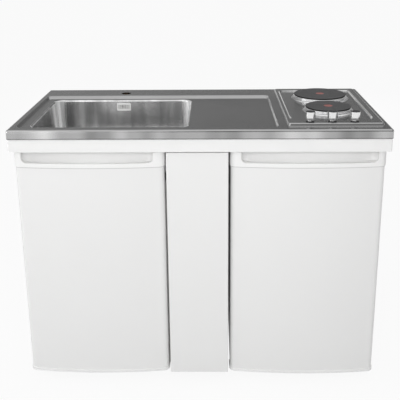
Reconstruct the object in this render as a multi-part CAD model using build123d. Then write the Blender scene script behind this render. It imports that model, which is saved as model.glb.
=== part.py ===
from build123d import *
from collections import namedtuple
from math import cos, radians, sin, tan
import os

# Mini kitchen unit in millimetres: X runs left to right, Y front to back, Z up.
# The origin lies on the floor under the middle of the worktop.

# Overall sizes
UNIT_WIDTH = 1200.0
UNIT_DEPTH = 600.0
WORKTOP_HEIGHT = 900.0
FOOT_HEIGHT = 34.0
CARCASS_INSET = 15.0

# Stainless worktop with a sunken drainer field
SHEET = 1.0
EDGE_HEIGHT = 30.0
EDGE_ROLL = 8.0
EDGE_LIP = 12.0
WORKTOP_CORNER = 10.0
FIELD_DROP = 8.0
FIELD_LENGTH = 828.0
FIELD_SIDE_MARGIN = 22.0
FIELD_FRONT_MARGIN = 35.0
FIELD_BEVEL = 20.0
FIELD_LEFT_BEVEL = 7.0
FIELD_RIGHT_BEVEL = 4.0
FIELD_FRONT_BEVEL = 9.0
FIELD_CORNER = 18.0
FIELD_FLOOR_CORNER = 10.0
TAP_HOLE = 35.0
TAP_FORWARD = 16.0
TAP_SHANK_ROOM = 4.0
BOARD_CLEARANCE = 1.0
BOARD_HOLE_CLEARANCE = 2.0

# Sink bowl
BOWL_LENGTH = 500.0
BOWL_WIDTH = 388.0
BOWL_DEPTH = 165.0
BOWL_CORNER = 34.0
BOWL_FLOOR_RADIUS = 20.0
BOWL_RIM = 6.0
BOWL_DRAFT = 4.0
BOWL_SIDE_MARGIN = 32.0
BOWL_FRONT_MARGIN = 16.0
BOWL_REAR_MARGIN = 20.0
OVERFLOW_WIDTH = 51.0
OVERFLOW_HEIGHT = 28.0
OVERFLOW_BELOW_RIM = 25.0
OVERFLOW_BORDER = 4.0
OVERFLOW_PLATE = 2.0
OVERFLOW_SLOTS = 7
OVERFLOW_SLOT = 3.0
OVERFLOW_COLLAR = 8.0

# Sink waste, strainer basket and bottle trap
WASTE_FLANGE = 114.0
WASTE_FLANGE_THICK = 2.0
WASTE_CUP = 88.0
WASTE_CUP_DEPTH = 38.0
WASTE_WALL = 2.0
WASTE_HOLE_CLEARANCE = 1.0
SPIGOT_REACH = 14.0
PIPE_OUTER = 40.0
PIPE_WALL = 2.0
PIPE_FIT = 0.2
TAIL_LENGTH = 46.0
OVERFLOW_TUBE = 22.0
OVERFLOW_TUBE_WALL = 2.0
OVERFLOW_TUBE_STANDOFF = 14.0
OVERFLOW_TUBE_BEND = 12.0
BASKET_CLEARANCE = 3.0
BASKET_WALL = 1.5
BASKET_SEAT_GAP = 0.3
BASKET_HOLE = 6.0
BASKET_HOLES = 6
BASKET_GRIP = 12.0
BASKET_GRIP_HEIGHT = 6.0
TRAP_DIAMETER = 76.0
TRAP_HEIGHT = 84.0
TRAP_WALL = 3.0
TRAP_CUP_HEIGHT = 42.0
TRAP_COLLAR = 4.0
TRAP_COLLAR_HEIGHT = 12.0
OUTLET_PIPE = 38.0
OUTLET_SPIGOT = 40.0
OUTLET_SPIGOT_LENGTH = 24.0
PIPE_BACK_GAP = 2.0
PIPE_HOLE_CLEARANCE = 2.0

# Hob panel with two hotplates
HOB_WIDTH = 304.0
HOB_RIGHT_MARGIN = 18.0
HOB_FRONT_MARGIN = 47.0
HOB_REAR_MARGIN = 32.0
HOB_RISE = 8.0
HOB_BEVEL = 3.0
HOB_EDGE = 4.0
HOB_CORNER = 9.0
HOB_CUT_SIDE = 27.0
HOB_CUT_END = 9.0
HOB_CUT_CORNER = 8.0
FRONT_PLATE_DIAMETER = 150.0
REAR_PLATE_DIAMETER = 184.0
REAR_PLATE_FROM_REAR = 162.0
PLATE_SPACING = 190.0
PLATE_RIM_HEIGHT = 4.0
PLATE_BODY_DEPTH = 18.0
PLATE_BODY_INSET = 8.0
PLATE_WALL = 6.0
PLATE_WEB = 10.0
PLATE_BOSS = 24.0
PLATE_DOT = 26.0
PLATE_DOT_DEPTH = 0.6
PLATE_BEVEL = 1.0
PLATE_HOLE_CLEARANCE = 2.0
RING_WIDTH = 4.0
RING_HEIGHT = 9.0
RING_ROLL = 1.0
HOB_BOSS_HEIGHT = 3.0
HOB_BOSS_LAND = 2.0
HOB_BOSS_SLOPE = 4.0
BEAD_WIDTH = 9.0
BEAD_HEIGHT = 4.0
BEAD_SLOPE = 2.1
BEAD_SLOPE_DROP = 3.6
BEAD_END = 4.0
BEAD_LEFT_INSET = 12.0
BEAD_RIGHT_INSET = 24.0
BEAD_FRONT_INSET = 66.0
BEAD_REAR_INSET = 46.0
BEAD_CORNER = 16.0
CLAMP_WIDTH = 24.0
CLAMP_THICK = 3.0
CLAMP_REACH = 4.0
TRAY_DEPTH = 74.0
TRAY_CLEARANCE = 1.0

# Hob switches and knobs
KNOB_SPACING = 70.0
KNOB_OFFSET = -10.0
KNOB_FROM_EDGE = 19.0
KNOB_DIAMETER = 32.0
KNOB_HEIGHT = 33.0
KNOB_HEAD = 19.0
KNOB_NECK = 21.0
KNOB_SKIRT = 26.0
KNOB_SKIRT_HEIGHT = 3.0
KNOB_TOP_EDGE = 1.2
KNOB_LIFT = 0.5
SHAFT_DIAMETER = 6.0
SHAFT_CLEARANCE = 0.05
SHAFT_HOLE = 10.0
SHAFT_IN_KNOB = 16.0
SHAFT_IN_SWITCH = 24.0
SWITCH_WIDTH = 40.0
SWITCH_HEIGHT = 36.0
SWITCH_FRONT_GAP = 1.0

# White apron and the boards that carry the worktop
APRON_HEIGHT = 42.0
APRON_THICK = 12.0
APRON_INSET = 3.0
BOARD = 16.0
BEARER_FRONT_GAP = 6.0
CABINET_GAP = 6.0

# Sink cupboard
CUPBOARD_BACK = 4.0
CUPBOARD_BACK_INSET = 28.0
CUPBOARD_DOOR_GAP = 12.0
SHELF_HEIGHT = 330.0
SHELF_SETBACK = 90.0
STILE_WIDTH = 36.0
STILE_TOP_GAP = 12.0
FILLER_WIDTH = 196.0
FILLER_OFFSET = -6.0
FILLER_GAP = 7.0
FILLER_SETBACK = 10.0
FILLER_SHEET = 1.5
FILLER_FLANGE = 14.0
FILLER_EDGE = 3.0
FILLER_BOWL_GAP = 4.0

# Bowed doors
DOOR_SETBACK = 20.0
DOOR_BOW = 16.0
DOOR_EDGE = 18.0
DOOR_SHEET = 1.0
DOOR_RETURN = 30.0
DOOR_CLEARANCE = 1.0
CUPBOARD_DOOR_THICK = 36.0
FRIDGE_DOOR_THICK = 48.0
DOOR_INNER = 3.0
DOOR_INNER_INSET = 16.0
CAP_OVERHANG = 2.5
TOP_CAP_HEIGHT = 48.0
BOTTOM_CAP_HEIGHT = 10.0
BOTTOM_CAP_EDGE = 3.0
SCOOP_HINGE_MARGIN = 24.0
SCOOP_FREE_MARGIN = 34.0
SCOOP_HEIGHT = 35.0
SCOOP_CORNER = 16.0
SCOOP_END = 20.0
SCOOP_BEVEL = 2.0
SCOOP_LIP = 8.0
SCOOP_DEPTH = 24.0
SCOOP_GROOVE = 7.0

# Door hinges
HINGE_RADIUS = 14.0
HINGE_PLATE = 3.0
HINGE_LUG = 12.0
HINGE_ARM = 24.0
HINGE_REACH = 75.0
HINGE_FLANGE = 36.0
HINGE_PIN = 8.0
HINGE_PIN_CLEARANCE = 0.05
TOP_PIN_LENGTH = 18.0
BOTTOM_PIN_LENGTH = 9.0
PIN_END_GAP = 1.0

# Fridge cabinet
FRIDGE_SHEET = 1.0
FRIDGE_BACK_SPACE = 32.0
INSULATION = 42.0
LINER = 2.0
GASKET_GAP = 10.0
GASKET_WIDTH = 13.0
GASKET_INSET = 16.0
GASKET_RELIEF = 0.4
GASKET_GROOVE = 4.0
MACHINE_DEPTH = 178.0
MACHINE_HEIGHT = 196.0
RIB_DEPTH = 8.0
RIB_HEIGHT = 6.0
RIB_FRONT = 74.0
GLASS = 4.0
GLASS_SIDE_GAP = 2.0
GLASS_FRONT = 106.0
GLASS_REAR_GAP = 8.0
LOW_SHELF = 210.0
MIDDLE_SHELF = 330.0
HIGH_SHELF = 450.0
ICE_BOX_HEIGHT = 132.0
ICE_BOX_SIDE_GAP = 9.0
ICE_BOX_REAR_GAP = 16.0
ICE_BOX_FRONT = 104.0
ICE_BOX_WALL = 3.0
CRISPER_SIDE_GAP = 9.0
CRISPER_FRONT = 112.0
CRISPER_REAR_GAP = 10.0
CRISPER_HEIGHT = 186.0
CRISPER_WALL = 2.5
CRISPER_DRAFT = 3.0
CRISPER_CORNER = 14.0
THERMOSTAT_DEPTH = 36.0
THERMOSTAT_LENGTH = 110.0
THERMOSTAT_HEIGHT = 44.0
THERMOSTAT_FRONT = 170.0
THERMOSTAT_BELOW_ICE = 14.0
DIAL_DIAMETER = 28.0
DIAL_DEPTH = 13.0
DIAL_GAP = 0.3
DIAL_STEM = 10.0

# Fridge door inside
DYKE_INSET = 12.0
DYKE_WIDTH = 10.0
DYKE_DEPTH = 27.0
RACK_DEPTH = 92.0
RACK_HEIGHT = 70.0
RACK_WALL = 2.5
LOW_RACK = 40.0
MIDDLE_RACK = 290.0
HIGH_RACK = 510.0
RACK_FLOOR_RADIUS = 8.0

# Compressor and condenser
COMPRESSOR_DIAMETER = 150.0
COMPRESSOR_SEAM_HEIGHT = 87.0
COMPRESSOR_DOME = 71.0
COMPRESSOR_OFFSET = -20.0
COMPRESSOR_REAR_GAP = 12.0
COMPRESSOR_SEAM = 5.0
COMPRESSOR_PLATE = 3.0
GROMMET_DIAMETER = 20.0
GROMMET_HEIGHT = 8.0
FLOOR_PLATE = 2.0
CONDENSER_STANDOFF = 12.0
CONDENSER_TUBE = 5.0
CONDENSER_MARGIN = 30.0
CONDENSER_RUNS = 8
CONDENSER_PITCH = 60.0
CONDENSER_WIRES = 14
CONDENSER_WIRE = 1.6
CONDENSER_BOTTOM = 40.0
CONDENSER_CLIP = 10.0

# Levelling feet
FOOT_PAD = 40.0
FOOT_PAD_HEIGHT = 9.0
FOOT_STEM = 14.0
FOOT_TOP = 32.0
FOOT_TOP_HEIGHT = 5.0
FOOT_SIDE_INSET = 70.0
FOOT_FRONT_INSET = 45.0
FOOT_REAR_INSET = 34.0

# Planes and levels worked out from the sizes above
left_end = -UNIT_WIDTH / 2
right_end = UNIT_WIDTH / 2
front = -UNIT_DEPTH / 2
back = UNIT_DEPTH / 2
top = WORKTOP_HEIGHT
edge_bottom = top - EDGE_HEIGHT
apron_bottom = edge_bottom - APRON_HEIGHT
cabinet_top = apron_bottom - HINGE_PLATE
door_z = (FOOT_HEIGHT + DOOR_CLEARANCE, cabinet_top - DOOR_CLEARANCE)
skin_z = (door_z[0] + BOTTOM_CAP_HEIGHT, door_z[1] - TOP_CAP_HEIGHT)

# Sunken field and bowl
field_z = top - FIELD_DROP
field_x = (left_end + FIELD_SIDE_MARGIN, left_end + FIELD_SIDE_MARGIN + FIELD_LENGTH)
field_front = front + FIELD_FRONT_MARGIN
bowl_left = field_x[0] + FIELD_LEFT_BEVEL + BOWL_SIDE_MARGIN
bowl_x = (bowl_left, bowl_left + BOWL_LENGTH)
bowl_front = field_front + FIELD_FRONT_BEVEL + BOWL_FRONT_MARGIN
bowl_y = (bowl_front, bowl_front + BOWL_WIDTH)
field_y = (field_front, bowl_y[1] + BOWL_REAR_MARGIN + FIELD_BEVEL)
bowl_centre = (sum(bowl_x) / 2, sum(bowl_y) / 2)
bowl_floor = field_z - BOWL_DEPTH
tap_centre = (bowl_centre[0], (field_y[1] + back) / 2 - TAP_FORWARD)
board_z = (edge_bottom + SHEET, field_z - SHEET)

# Overflow: where the sloping rear wall of the bowl stands at that height
overflow_z = field_z - OVERFLOW_BELOW_RIM
overflow_wall = bowl_y[1] - OVERFLOW_BELOW_RIM * tan(radians(BOWL_DRAFT))
wall_normal = (0.0, -cos(radians(BOWL_DRAFT)), sin(radians(BOWL_DRAFT)))
bowl_wall = SHEET * (cos(radians(BOWL_DRAFT)) + sin(radians(BOWL_DRAFT)))
overflow_drop = overflow_wall + bowl_wall + OVERFLOW_COLLAR + OVERFLOW_TUBE_STANDOFF

# Waste and trap levels
cup_floor = bowl_floor - WASTE_CUP_DEPTH
tail_bottom = cup_floor - WASTE_WALL - TAIL_LENGTH
spigot_z = cup_floor + OVERFLOW_TUBE / 2 + WASTE_WALL
spigot_end = bowl_centre[1] + WASTE_CUP / 2 + SPIGOT_REACH
trap_z = (tail_bottom - TRAP_HEIGHT, tail_bottom)
outlet_z = trap_z[1] - TRAP_COLLAR_HEIGHT - OUTLET_PIPE / 2 - 2 * TRAP_COLLAR

# Hob
hob_x = (right_end - HOB_RIGHT_MARGIN - HOB_WIDTH, right_end - HOB_RIGHT_MARGIN)
hob_y = (front + HOB_FRONT_MARGIN, back - HOB_REAR_MARGIN)
hob_mid = sum(hob_x) / 2
hob_top = top + HOB_RISE
hob_under = hob_top - SHEET
hob_cut_x = (hob_x[0] + HOB_CUT_SIDE, hob_x[1] - HOB_CUT_SIDE)
hob_cut_y = (hob_y[0] + HOB_CUT_END, hob_y[1] - HOB_CUT_END)
boss_top = hob_top + HOB_BOSS_HEIGHT
plate_seat = boss_top + RING_HEIGHT
plate_top = plate_seat + PLATE_RIM_HEIGHT
plate_bottom = plate_seat - PLATE_BODY_DEPTH
knob_y = hob_y[0] + KNOB_FROM_EDGE
knob_z = hob_top + KNOB_LIFT
tray_x = (hob_cut_x[0] + TRAY_CLEARANCE, hob_cut_x[1] - TRAY_CLEARANCE)
tray_y = (hob_cut_y[0] + TRAY_CLEARANCE, hob_cut_y[1] - TRAY_CLEARANCE)

Plate = namedtuple("Plate", "y radius")
rear_plate = Plate(hob_y[1] - REAR_PLATE_FROM_REAR, REAR_PLATE_DIAMETER / 2)
front_plate = Plate(rear_plate.y - PLATE_SPACING, FRONT_PLATE_DIAMETER / 2)

# Cabinets and doors across the front
carcass_x = (left_end + CARCASS_INSET, right_end - CARCASS_INSET)
carcass_back = back - APRON_INSET - APRON_THICK
filler_x = (FILLER_OFFSET - FILLER_WIDTH / 2, FILLER_OFFSET + FILLER_WIDTH / 2)
fridge_x = (filler_x[1] + FILLER_GAP, carcass_x[1])
cupboard_x = (carcass_x[0], fridge_x[0] - CABINET_GAP)
cupboard_inner = (cupboard_x[0] + BOARD, cupboard_x[1] - BOARD)
door_front = front + DOOR_SETBACK
cupboard_door_rear = door_front + CUPBOARD_DOOR_THICK
fridge_door_rear = door_front + FRIDGE_DOOR_THICK
cupboard_front = cupboard_door_rear + CUPBOARD_DOOR_GAP
stile_top = bowl_floor - SHEET - STILE_TOP_GAP
cupboard_back = (back - CUPBOARD_BACK_INSET - CUPBOARD_BACK, back - CUPBOARD_BACK_INSET)
fridge_front = fridge_door_rear + GASKET_GAP
fridge_back = back - FRIDGE_BACK_SPACE

Door = namedtuple("Door", "x rear hinge_side")
cupboard_door = Door((carcass_x[0], filler_x[0] - FILLER_GAP), cupboard_door_rear, -1)
fridge_door = Door(fridge_x, fridge_door_rear, 1)

# Fridge inside
cavity_x = (fridge_x[0] + INSULATION, fridge_x[1] - INSULATION)
cavity_z = (FOOT_HEIGHT + INSULATION, cabinet_top - INSULATION)
cavity_back = fridge_back - INSULATION
machine_front = fridge_back - MACHINE_DEPTH
machine_top = FOOT_HEIGHT + MACHINE_HEIGHT
hump_front = machine_front - INSULATION
hump_top = machine_top + INSULATION
ice_box_z = (cavity_z[1] - ICE_BOX_HEIGHT, cavity_z[1])
thermostat_z = (ice_box_z[0] - THERMOSTAT_BELOW_ICE - THERMOSTAT_HEIGHT, ice_box_z[0] - THERMOSTAT_BELOW_ICE)
thermostat_front = fridge_front + THERMOSTAT_FRONT
dial_centre = (cavity_x[1] - THERMOSTAT_DEPTH / 2, sum(thermostat_z) / 2)
compressor_centre = (
    sum(fridge_x) / 2 + COMPRESSOR_OFFSET,
    fridge_back - COMPRESSOR_REAR_GAP - COMPRESSOR_DIAMETER / 2 - COMPRESSOR_SEAM,
)


def grown(pair, margin):
    """A (low, high) pair widened by a margin at both ends."""
    return (pair[0] - margin, pair[1] + margin)


def span_box(x, y, z):
    """A board or bar between (low, high) pairs of x, y and z."""
    size = (x[1] - x[0], y[1] - y[0], z[1] - z[0])
    return Pos(x[0], y[0], z[0]) * Box(*size, align=(Align.MIN, Align.MIN, Align.MIN))


def rounded_outline(x, y, z, radius):
    """A rounded rectangle that lies flat at height z."""
    return Pos(sum(x) / 2, sum(y) / 2, z) * RectangleRounded(x[1] - x[0], y[1] - y[0], radius)


def rounded_prism(x, y, z, radius):
    """A plate with rounded upright corners."""
    return extrude(rounded_outline(x, y, z[0], radius), z[1] - z[0], dir=(0, 0, 1))


def turned(outline, x, y):
    """A solid of revolution of a (radius, height) outline about an upright axis at x, y."""
    face = Plane.XZ * make_face(Polyline(*outline, close=True))
    return Pos(x, y, 0) * revolve(face, Axis.Z)


def rod(x, y, z, diameter):
    """An upright round bar or drill."""
    return Pos(x, y, z[0]) * extrude(Circle(diameter / 2), z[1] - z[0], dir=(0, 0, 1))


def rod_along_y(x, y, z, diameter):
    """A round bar or drill that lies front to back."""
    disc = Plane((x, y[0], z), z_dir=(0, 1, 0)) * Circle(diameter / 2)
    return extrude(disc, y[1] - y[0], dir=(0, 1, 0))


def swept_profile(points, x):
    """A (y, z) outline carried across from x[0] to x[1]."""
    face = Plane.YZ * make_face(Polyline(*points, close=True))
    return Pos(x[0], 0, 0) * extrude(face, x[1] - x[0], dir=(1, 0, 0))


# Worktop and sink

def field_form(drop):
    """The bevelled pit of the drainer field, lowered by drop."""
    floor_x = (field_x[0] + FIELD_LEFT_BEVEL, field_x[1] - FIELD_RIGHT_BEVEL)
    floor_y = (field_y[0] + FIELD_FRONT_BEVEL, field_y[1] - FIELD_BEVEL)
    rim = rounded_outline(field_x, field_y, top - drop, FIELD_CORNER)
    floor = rounded_outline(floor_x, floor_y, field_z - drop, FIELD_FLOOR_CORNER)
    return loft([rim, floor], ruled=True)


def bowl_flange(z):
    """The outline of the bowl's welded rim, between two heights."""
    return rounded_prism(grown(bowl_x, BOWL_RIM), grown(bowl_y, BOWL_RIM), z, BOWL_CORNER + BOWL_RIM)


def bowl_space(grow):
    """The hollow of the bowl with its rolled rim, or with grow the outside of its sheet."""
    rim_z = field_z - grow
    mouth = rounded_outline(grown(bowl_x, grow), grown(bowl_y, grow), rim_z, BOWL_CORNER + grow)
    pit = extrude(mouth, BOWL_DEPTH, dir=(0, 0, -1), taper=BOWL_DRAFT)
    pit = fillet(pit.faces().sort_by(Axis.Z)[0].edges(), BOWL_FLOOR_RADIUS + grow)
    cover_x = grown(bowl_x, BOWL_CORNER)
    cover_y = grown(bowl_y, BOWL_CORNER)
    form = pit + span_box(cover_x, cover_y, (rim_z, rim_z + BOWL_CORNER))
    level = form.edges().filter_by_position(Axis.Z, rim_z, rim_z)
    rim = [edge for edge in level if is_bowl_rim(edge)]
    return fillet(rim, BOWL_RIM + grow)


def is_bowl_rim(edge):
    """True for an edge round the bowl's mouth, false for the border of the cover above it."""
    middle = edge @ 0.5
    inside_x = abs(middle.X - bowl_centre[0]) < BOWL_LENGTH / 2 + BOWL_RIM
    inside_y = abs(middle.Y - bowl_centre[1]) < BOWL_WIDTH / 2 + BOWL_RIM
    return inside_x and inside_y


def worktop():
    """Pressed sheet: rolled edge with a return lip, drainer field, cut-outs and tap hole."""
    plan_x = (left_end, right_end)
    plan_y = (front, back)
    outside = rounded_prism(plan_x, plan_y, (edge_bottom, top), WORKTOP_CORNER)
    outside = fillet(outside.faces().sort_by(Axis.Z)[-1].edges(), EDGE_ROLL)
    inside_z = (edge_bottom + SHEET, top - SHEET)
    inside = rounded_prism(grown(plan_x, -SHEET), grown(plan_y, -SHEET), inside_z, WORKTOP_CORNER - SHEET)
    inside = fillet(inside.faces().sort_by(Axis.Z)[-1].edges(), EDGE_ROLL - SHEET)
    mouth = -SHEET - EDGE_LIP
    opening_z = (edge_bottom, edge_bottom + 2 * SHEET)
    opening = span_box(grown(plan_x, mouth), grown(plan_y, mouth), opening_z)
    sheet = outside - inside - opening + field_form(SHEET) - field_form(0)
    cut_z = (field_z - 2 * SHEET, top)
    sheet -= bowl_flange(cut_z)
    sheet -= rounded_prism(hob_cut_x, hob_cut_y, cut_z, HOB_CUT_CORNER)
    return sheet - rod(*tap_centre, cut_z, TAP_HOLE)


def support_board():
    """Board glued under the sheet, with holes for the bowl, the hob and the tap shank."""
    inset = -SHEET - BOARD_CLEARANCE
    board = rounded_prism(
        grown((left_end, right_end), inset), grown((front, back), inset), board_z, WORKTOP_CORNER
    )
    hole = BOWL_RIM + BOARD_HOLE_CLEARANCE
    board -= rounded_prism(grown(bowl_x, hole), grown(bowl_y, hole), board_z, BOWL_CORNER)
    board -= rounded_prism(hob_cut_x, hob_cut_y, board_z, HOB_CUT_CORNER)
    notch_x = grown((bowl_centre[0], bowl_centre[0]), OVERFLOW_WIDTH / 2 + BOARD_HOLE_CLEARANCE)
    notch_y = (bowl_y[1], overflow_drop + OVERFLOW_TUBE / 2 + BOARD_HOLE_CLEARANCE)
    board -= span_box(notch_x, notch_y, board_z)
    return board - rod(*tap_centre, board_z, TAP_HOLE + TAP_SHANK_ROOM)


def wall_plane(depth):
    """Plane on the bowl's rear wall at the overflow, moved out of the bowl by depth."""
    origin = Vector(bowl_centre[0], overflow_wall, overflow_z) - Vector(*wall_normal) * depth
    return Plane(origin, x_dir=(1, 0, 0), z_dir=wall_normal)


def overflow_window(depth, reach):
    """Rounded rectangular hole through the bowl wall, from depth outwards by reach."""
    outline = RectangleRounded(
        OVERFLOW_WIDTH - 2 * OVERFLOW_BORDER, OVERFLOW_HEIGHT - 2 * OVERFLOW_BORDER, OVERFLOW_SLOT
    )
    return extrude(wall_plane(depth) * outline, reach, dir=tuple(-c for c in wall_normal))


def sink_bowl():
    """Deep-drawn bowl with a rolled rim, a waste hole and an overflow window."""
    shell = bowl_space(SHEET) - bowl_space(0)
    shell &= bowl_flange((bowl_floor - 2 * SHEET, field_z))
    hole = WASTE_CUP + 2 * WASTE_HOLE_CLEARANCE
    shell -= rod(*bowl_centre, (bowl_floor - 2 * SHEET, bowl_floor + SHEET), hole)
    return shell - overflow_window(-SHEET, 4 * SHEET)


def overflow_grille():
    """Slotted plate on the bowl's rear wall."""
    face = wall_plane(0) * RectangleRounded(OVERFLOW_WIDTH, OVERFLOW_HEIGHT, OVERFLOW_BORDER)
    plate = extrude(face, OVERFLOW_PLATE, dir=wall_normal)
    plate = fillet(plate.edges().sort_by(Axis.Y)[0], OVERFLOW_PLATE / 4)
    pitch = (OVERFLOW_WIDTH - 2 * OVERFLOW_BORDER) / OVERFLOW_SLOTS
    length = OVERFLOW_HEIGHT - 3 * OVERFLOW_BORDER
    slots = GridLocations(pitch, 0, OVERFLOW_SLOTS, 1) * SlotOverall(length, OVERFLOW_SLOT, rotation=90)
    return plate - extrude(wall_plane(0) * Sketch(slots), OVERFLOW_PLATE, dir=wall_normal)


def overflow_pipe():
    """Tube from the overflow collar down behind the bowl and under it to the waste."""
    x = bowl_centre[0]
    route = FilletPolyline(
        (x, spigot_end, spigot_z),
        (x, overflow_drop, spigot_z),
        (x, overflow_drop, overflow_z),
        (x, overflow_wall + bowl_wall + OVERFLOW_COLLAR / 2, overflow_z),
        radius=OVERFLOW_TUBE_BEND,
    )
    start = Plane((x, spigot_end, spigot_z), z_dir=(0, 1, 0))
    outer = sweep(start * Circle(OVERFLOW_TUBE / 2), path=route)
    bore = sweep(start * Circle(OVERFLOW_TUBE / 2 - OVERFLOW_TUBE_WALL), path=route)
    face = wall_plane(bowl_wall) * RectangleRounded(OVERFLOW_WIDTH, OVERFLOW_HEIGHT, OVERFLOW_BORDER)
    collar = extrude(face, OVERFLOW_COLLAR, dir=tuple(-c for c in wall_normal))
    return outer + collar - bore - overflow_window(bowl_wall, OVERFLOW_COLLAR - OVERFLOW_TUBE_WALL)


def sink_waste():
    """Flanged cup under the bowl with a tail pipe and a spigot for the overflow."""
    flange = WASTE_FLANGE / 2
    cup = WASTE_CUP / 2
    tail = PIPE_OUTER / 2
    body = turned(
        [
            (cup - WASTE_WALL, bowl_floor),
            (cup, bowl_floor + WASTE_FLANGE_THICK),
            (flange - WASTE_FLANGE_THICK, bowl_floor + WASTE_FLANGE_THICK),
            (flange, bowl_floor),
            (cup, bowl_floor),
            (cup, cup_floor - WASTE_WALL),
            (tail, cup_floor - WASTE_WALL),
            (tail, tail_bottom),
            (tail - PIPE_WALL, tail_bottom),
            (tail - PIPE_WALL, cup_floor),
            (cup - WASTE_WALL, cup_floor),
        ],
        *bowl_centre,
    )
    spigot_y = (bowl_centre[1] + cup - WASTE_WALL, spigot_end)
    bore = OVERFLOW_TUBE - 2 * OVERFLOW_TUBE_WALL
    body += rod_along_y(bowl_centre[0], spigot_y, spigot_z, OVERFLOW_TUBE) - rod(
        *bowl_centre, (cup_floor, bowl_floor), WASTE_CUP - 2 * WASTE_WALL
    )
    return body - rod_along_y(bowl_centre[0], grown(spigot_y, WASTE_WALL), spigot_z, bore)


def strainer_basket():
    """Perforated cup with a lifting grip that stands in the waste."""
    outer = WASTE_CUP / 2 - WASTE_WALL - BASKET_CLEARANCE
    inner = outer - BASKET_WALL
    foot = cup_floor + BASKET_SEAT_GAP
    floor = foot + BASKET_WALL
    rim = bowl_floor
    grip = BASKET_GRIP / 2
    cup = turned(
        [
            (0, foot),
            (outer - BASKET_WALL, foot),
            (outer, rim),
            (inner, rim),
            (inner - BASKET_WALL, floor),
            (grip / 2, floor),
            (grip / 2, rim),
            (grip, rim),
            (grip, rim + BASKET_GRIP_HEIGHT),
            (0, rim + BASKET_GRIP_HEIGHT),
        ],
        *bowl_centre,
    )
    drill = Pos(*bowl_centre, foot) * Cylinder(BASKET_HOLE / 2, 4 * BASKET_WALL)
    ring = (outer + grip) / 2
    return cup - [Pos(at.position) * drill for at in PolarLocations(ring, BASKET_HOLES)]


def trap_body():
    """Bottle of the trap with a collar nut on the tail pipe and an outlet stub."""
    shell = TRAP_DIAMETER / 2
    nut = PIPE_OUTER / 2 + TRAP_COLLAR
    shoulder = trap_z[1] - TRAP_COLLAR_HEIGHT
    body = turned(
        [
            (PIPE_OUTER / 2 + PIPE_FIT, trap_z[1] + TRAP_COLLAR_HEIGHT),
            (nut, trap_z[1] + TRAP_COLLAR_HEIGHT),
            (nut, shoulder),
            (shell, shoulder - TRAP_COLLAR),
            (shell, trap_z[0]),
            (shell - TRAP_WALL, trap_z[0]),
            (shell - TRAP_WALL, shoulder - TRAP_COLLAR - TRAP_WALL),
            (PIPE_OUTER / 2 - PIPE_WALL, shoulder - TRAP_WALL),
            (PIPE_OUTER / 2 - PIPE_WALL, trap_z[1]),
            (PIPE_OUTER / 2 + PIPE_FIT, trap_z[1]),
        ],
        *bowl_centre,
    )
    x, y = bowl_centre
    stub_y = (y + shell - TRAP_WALL, y + shell + TRAP_COLLAR_HEIGHT)
    stub = rod_along_y(x, stub_y, outlet_z, OUTLET_PIPE + 2 * TRAP_COLLAR)
    body += stub - rod(x, y, trap_z, TRAP_DIAMETER - 2 * TRAP_WALL)
    return body - rod_along_y(x, (y, y + TRAP_DIAMETER), outlet_z, OUTLET_PIPE + 2 * PIPE_FIT)


def trap_cup():
    """Screw-off cup under the trap."""
    shell = TRAP_DIAMETER / 2
    return turned(
        [
            (0, trap_z[0] - TRAP_CUP_HEIGHT),
            (shell - TRAP_COLLAR, trap_z[0] - TRAP_CUP_HEIGHT),
            (shell + TRAP_COLLAR, trap_z[0] - TRAP_COLLAR_HEIGHT),
            (shell + TRAP_COLLAR, trap_z[0]),
            (shell - TRAP_WALL, trap_z[0]),
            (shell - TRAP_COLLAR - TRAP_WALL, trap_z[0] - TRAP_CUP_HEIGHT + TRAP_WALL),
            (0, trap_z[0] - TRAP_CUP_HEIGHT + TRAP_WALL),
        ],
        *bowl_centre,
    )


def waste_pipe():
    """Outlet pipe from the trap to the wall behind the unit, with a spigot end."""
    x = bowl_centre[0]
    run = (bowl_centre[1] + TRAP_DIAMETER / 2, back - PIPE_BACK_GAP)
    tube = rod_along_y(x, run, outlet_z, OUTLET_PIPE)
    tube += rod_along_y(x, (run[1] - OUTLET_SPIGOT_LENGTH, run[1]), outlet_z, OUTLET_SPIGOT)
    return tube - rod_along_y(x, run, outlet_z, OUTLET_PIPE - 2 * PIPE_WALL)


# Hob

def hob_form(inset):
    """The raised tray shape of the hob panel with its rolled top edge, drawn in by inset."""
    foot = rounded_outline(grown(hob_x, -inset), grown(hob_y, -inset), top - inset, HOB_CORNER)
    rise = HOB_BEVEL + inset
    crown = rounded_outline(grown(hob_x, -rise), grown(hob_y, -rise), hob_top - inset, HOB_CORNER)
    tray = loft([foot, crown], ruled=True)
    return fillet(tray.faces().sort_by(Axis.Z)[-1].edges(), HOB_EDGE - inset)


def hob_bead():
    """Raised U-shaped bead with sloping sides round the hotplates, open towards the knobs."""
    x = (hob_x[0] + BEAD_LEFT_INSET, hob_x[1] - BEAD_RIGHT_INSET)
    y = (hob_y[0] + BEAD_FRONT_INSET, hob_y[1] - BEAD_REAR_INSET)
    reach = (y[0] - 4 * BEAD_CORNER, y[1])
    ring = rounded_outline(x, reach, hob_top, BEAD_CORNER)
    inner_x = grown(x, -BEAD_WIDTH)
    inner_y = grown(reach, -BEAD_WIDTH)
    ring -= rounded_outline(inner_x, inner_y, hob_top, BEAD_CORNER - BEAD_WIDTH)
    bead = extrude(ring, BEAD_HEIGHT, dir=(0, 0, 1))
    bead -= span_box(grown(x, BEAD_WIDTH), (reach[0] - BEAD_WIDTH, y[0]), (hob_top, hob_top + BEAD_HEIGHT))
    ends = bead.edges().filter_by(Axis.Z).filter_by_position(Axis.Y, y[0], y[0])
    bead = fillet(ends, BEAD_END)
    crest = bead.faces().sort_by(Axis.Z)[-1]
    return chamfer(crest.edges(), BEAD_SLOPE, BEAD_SLOPE_DROP, reference=crest)


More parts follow.
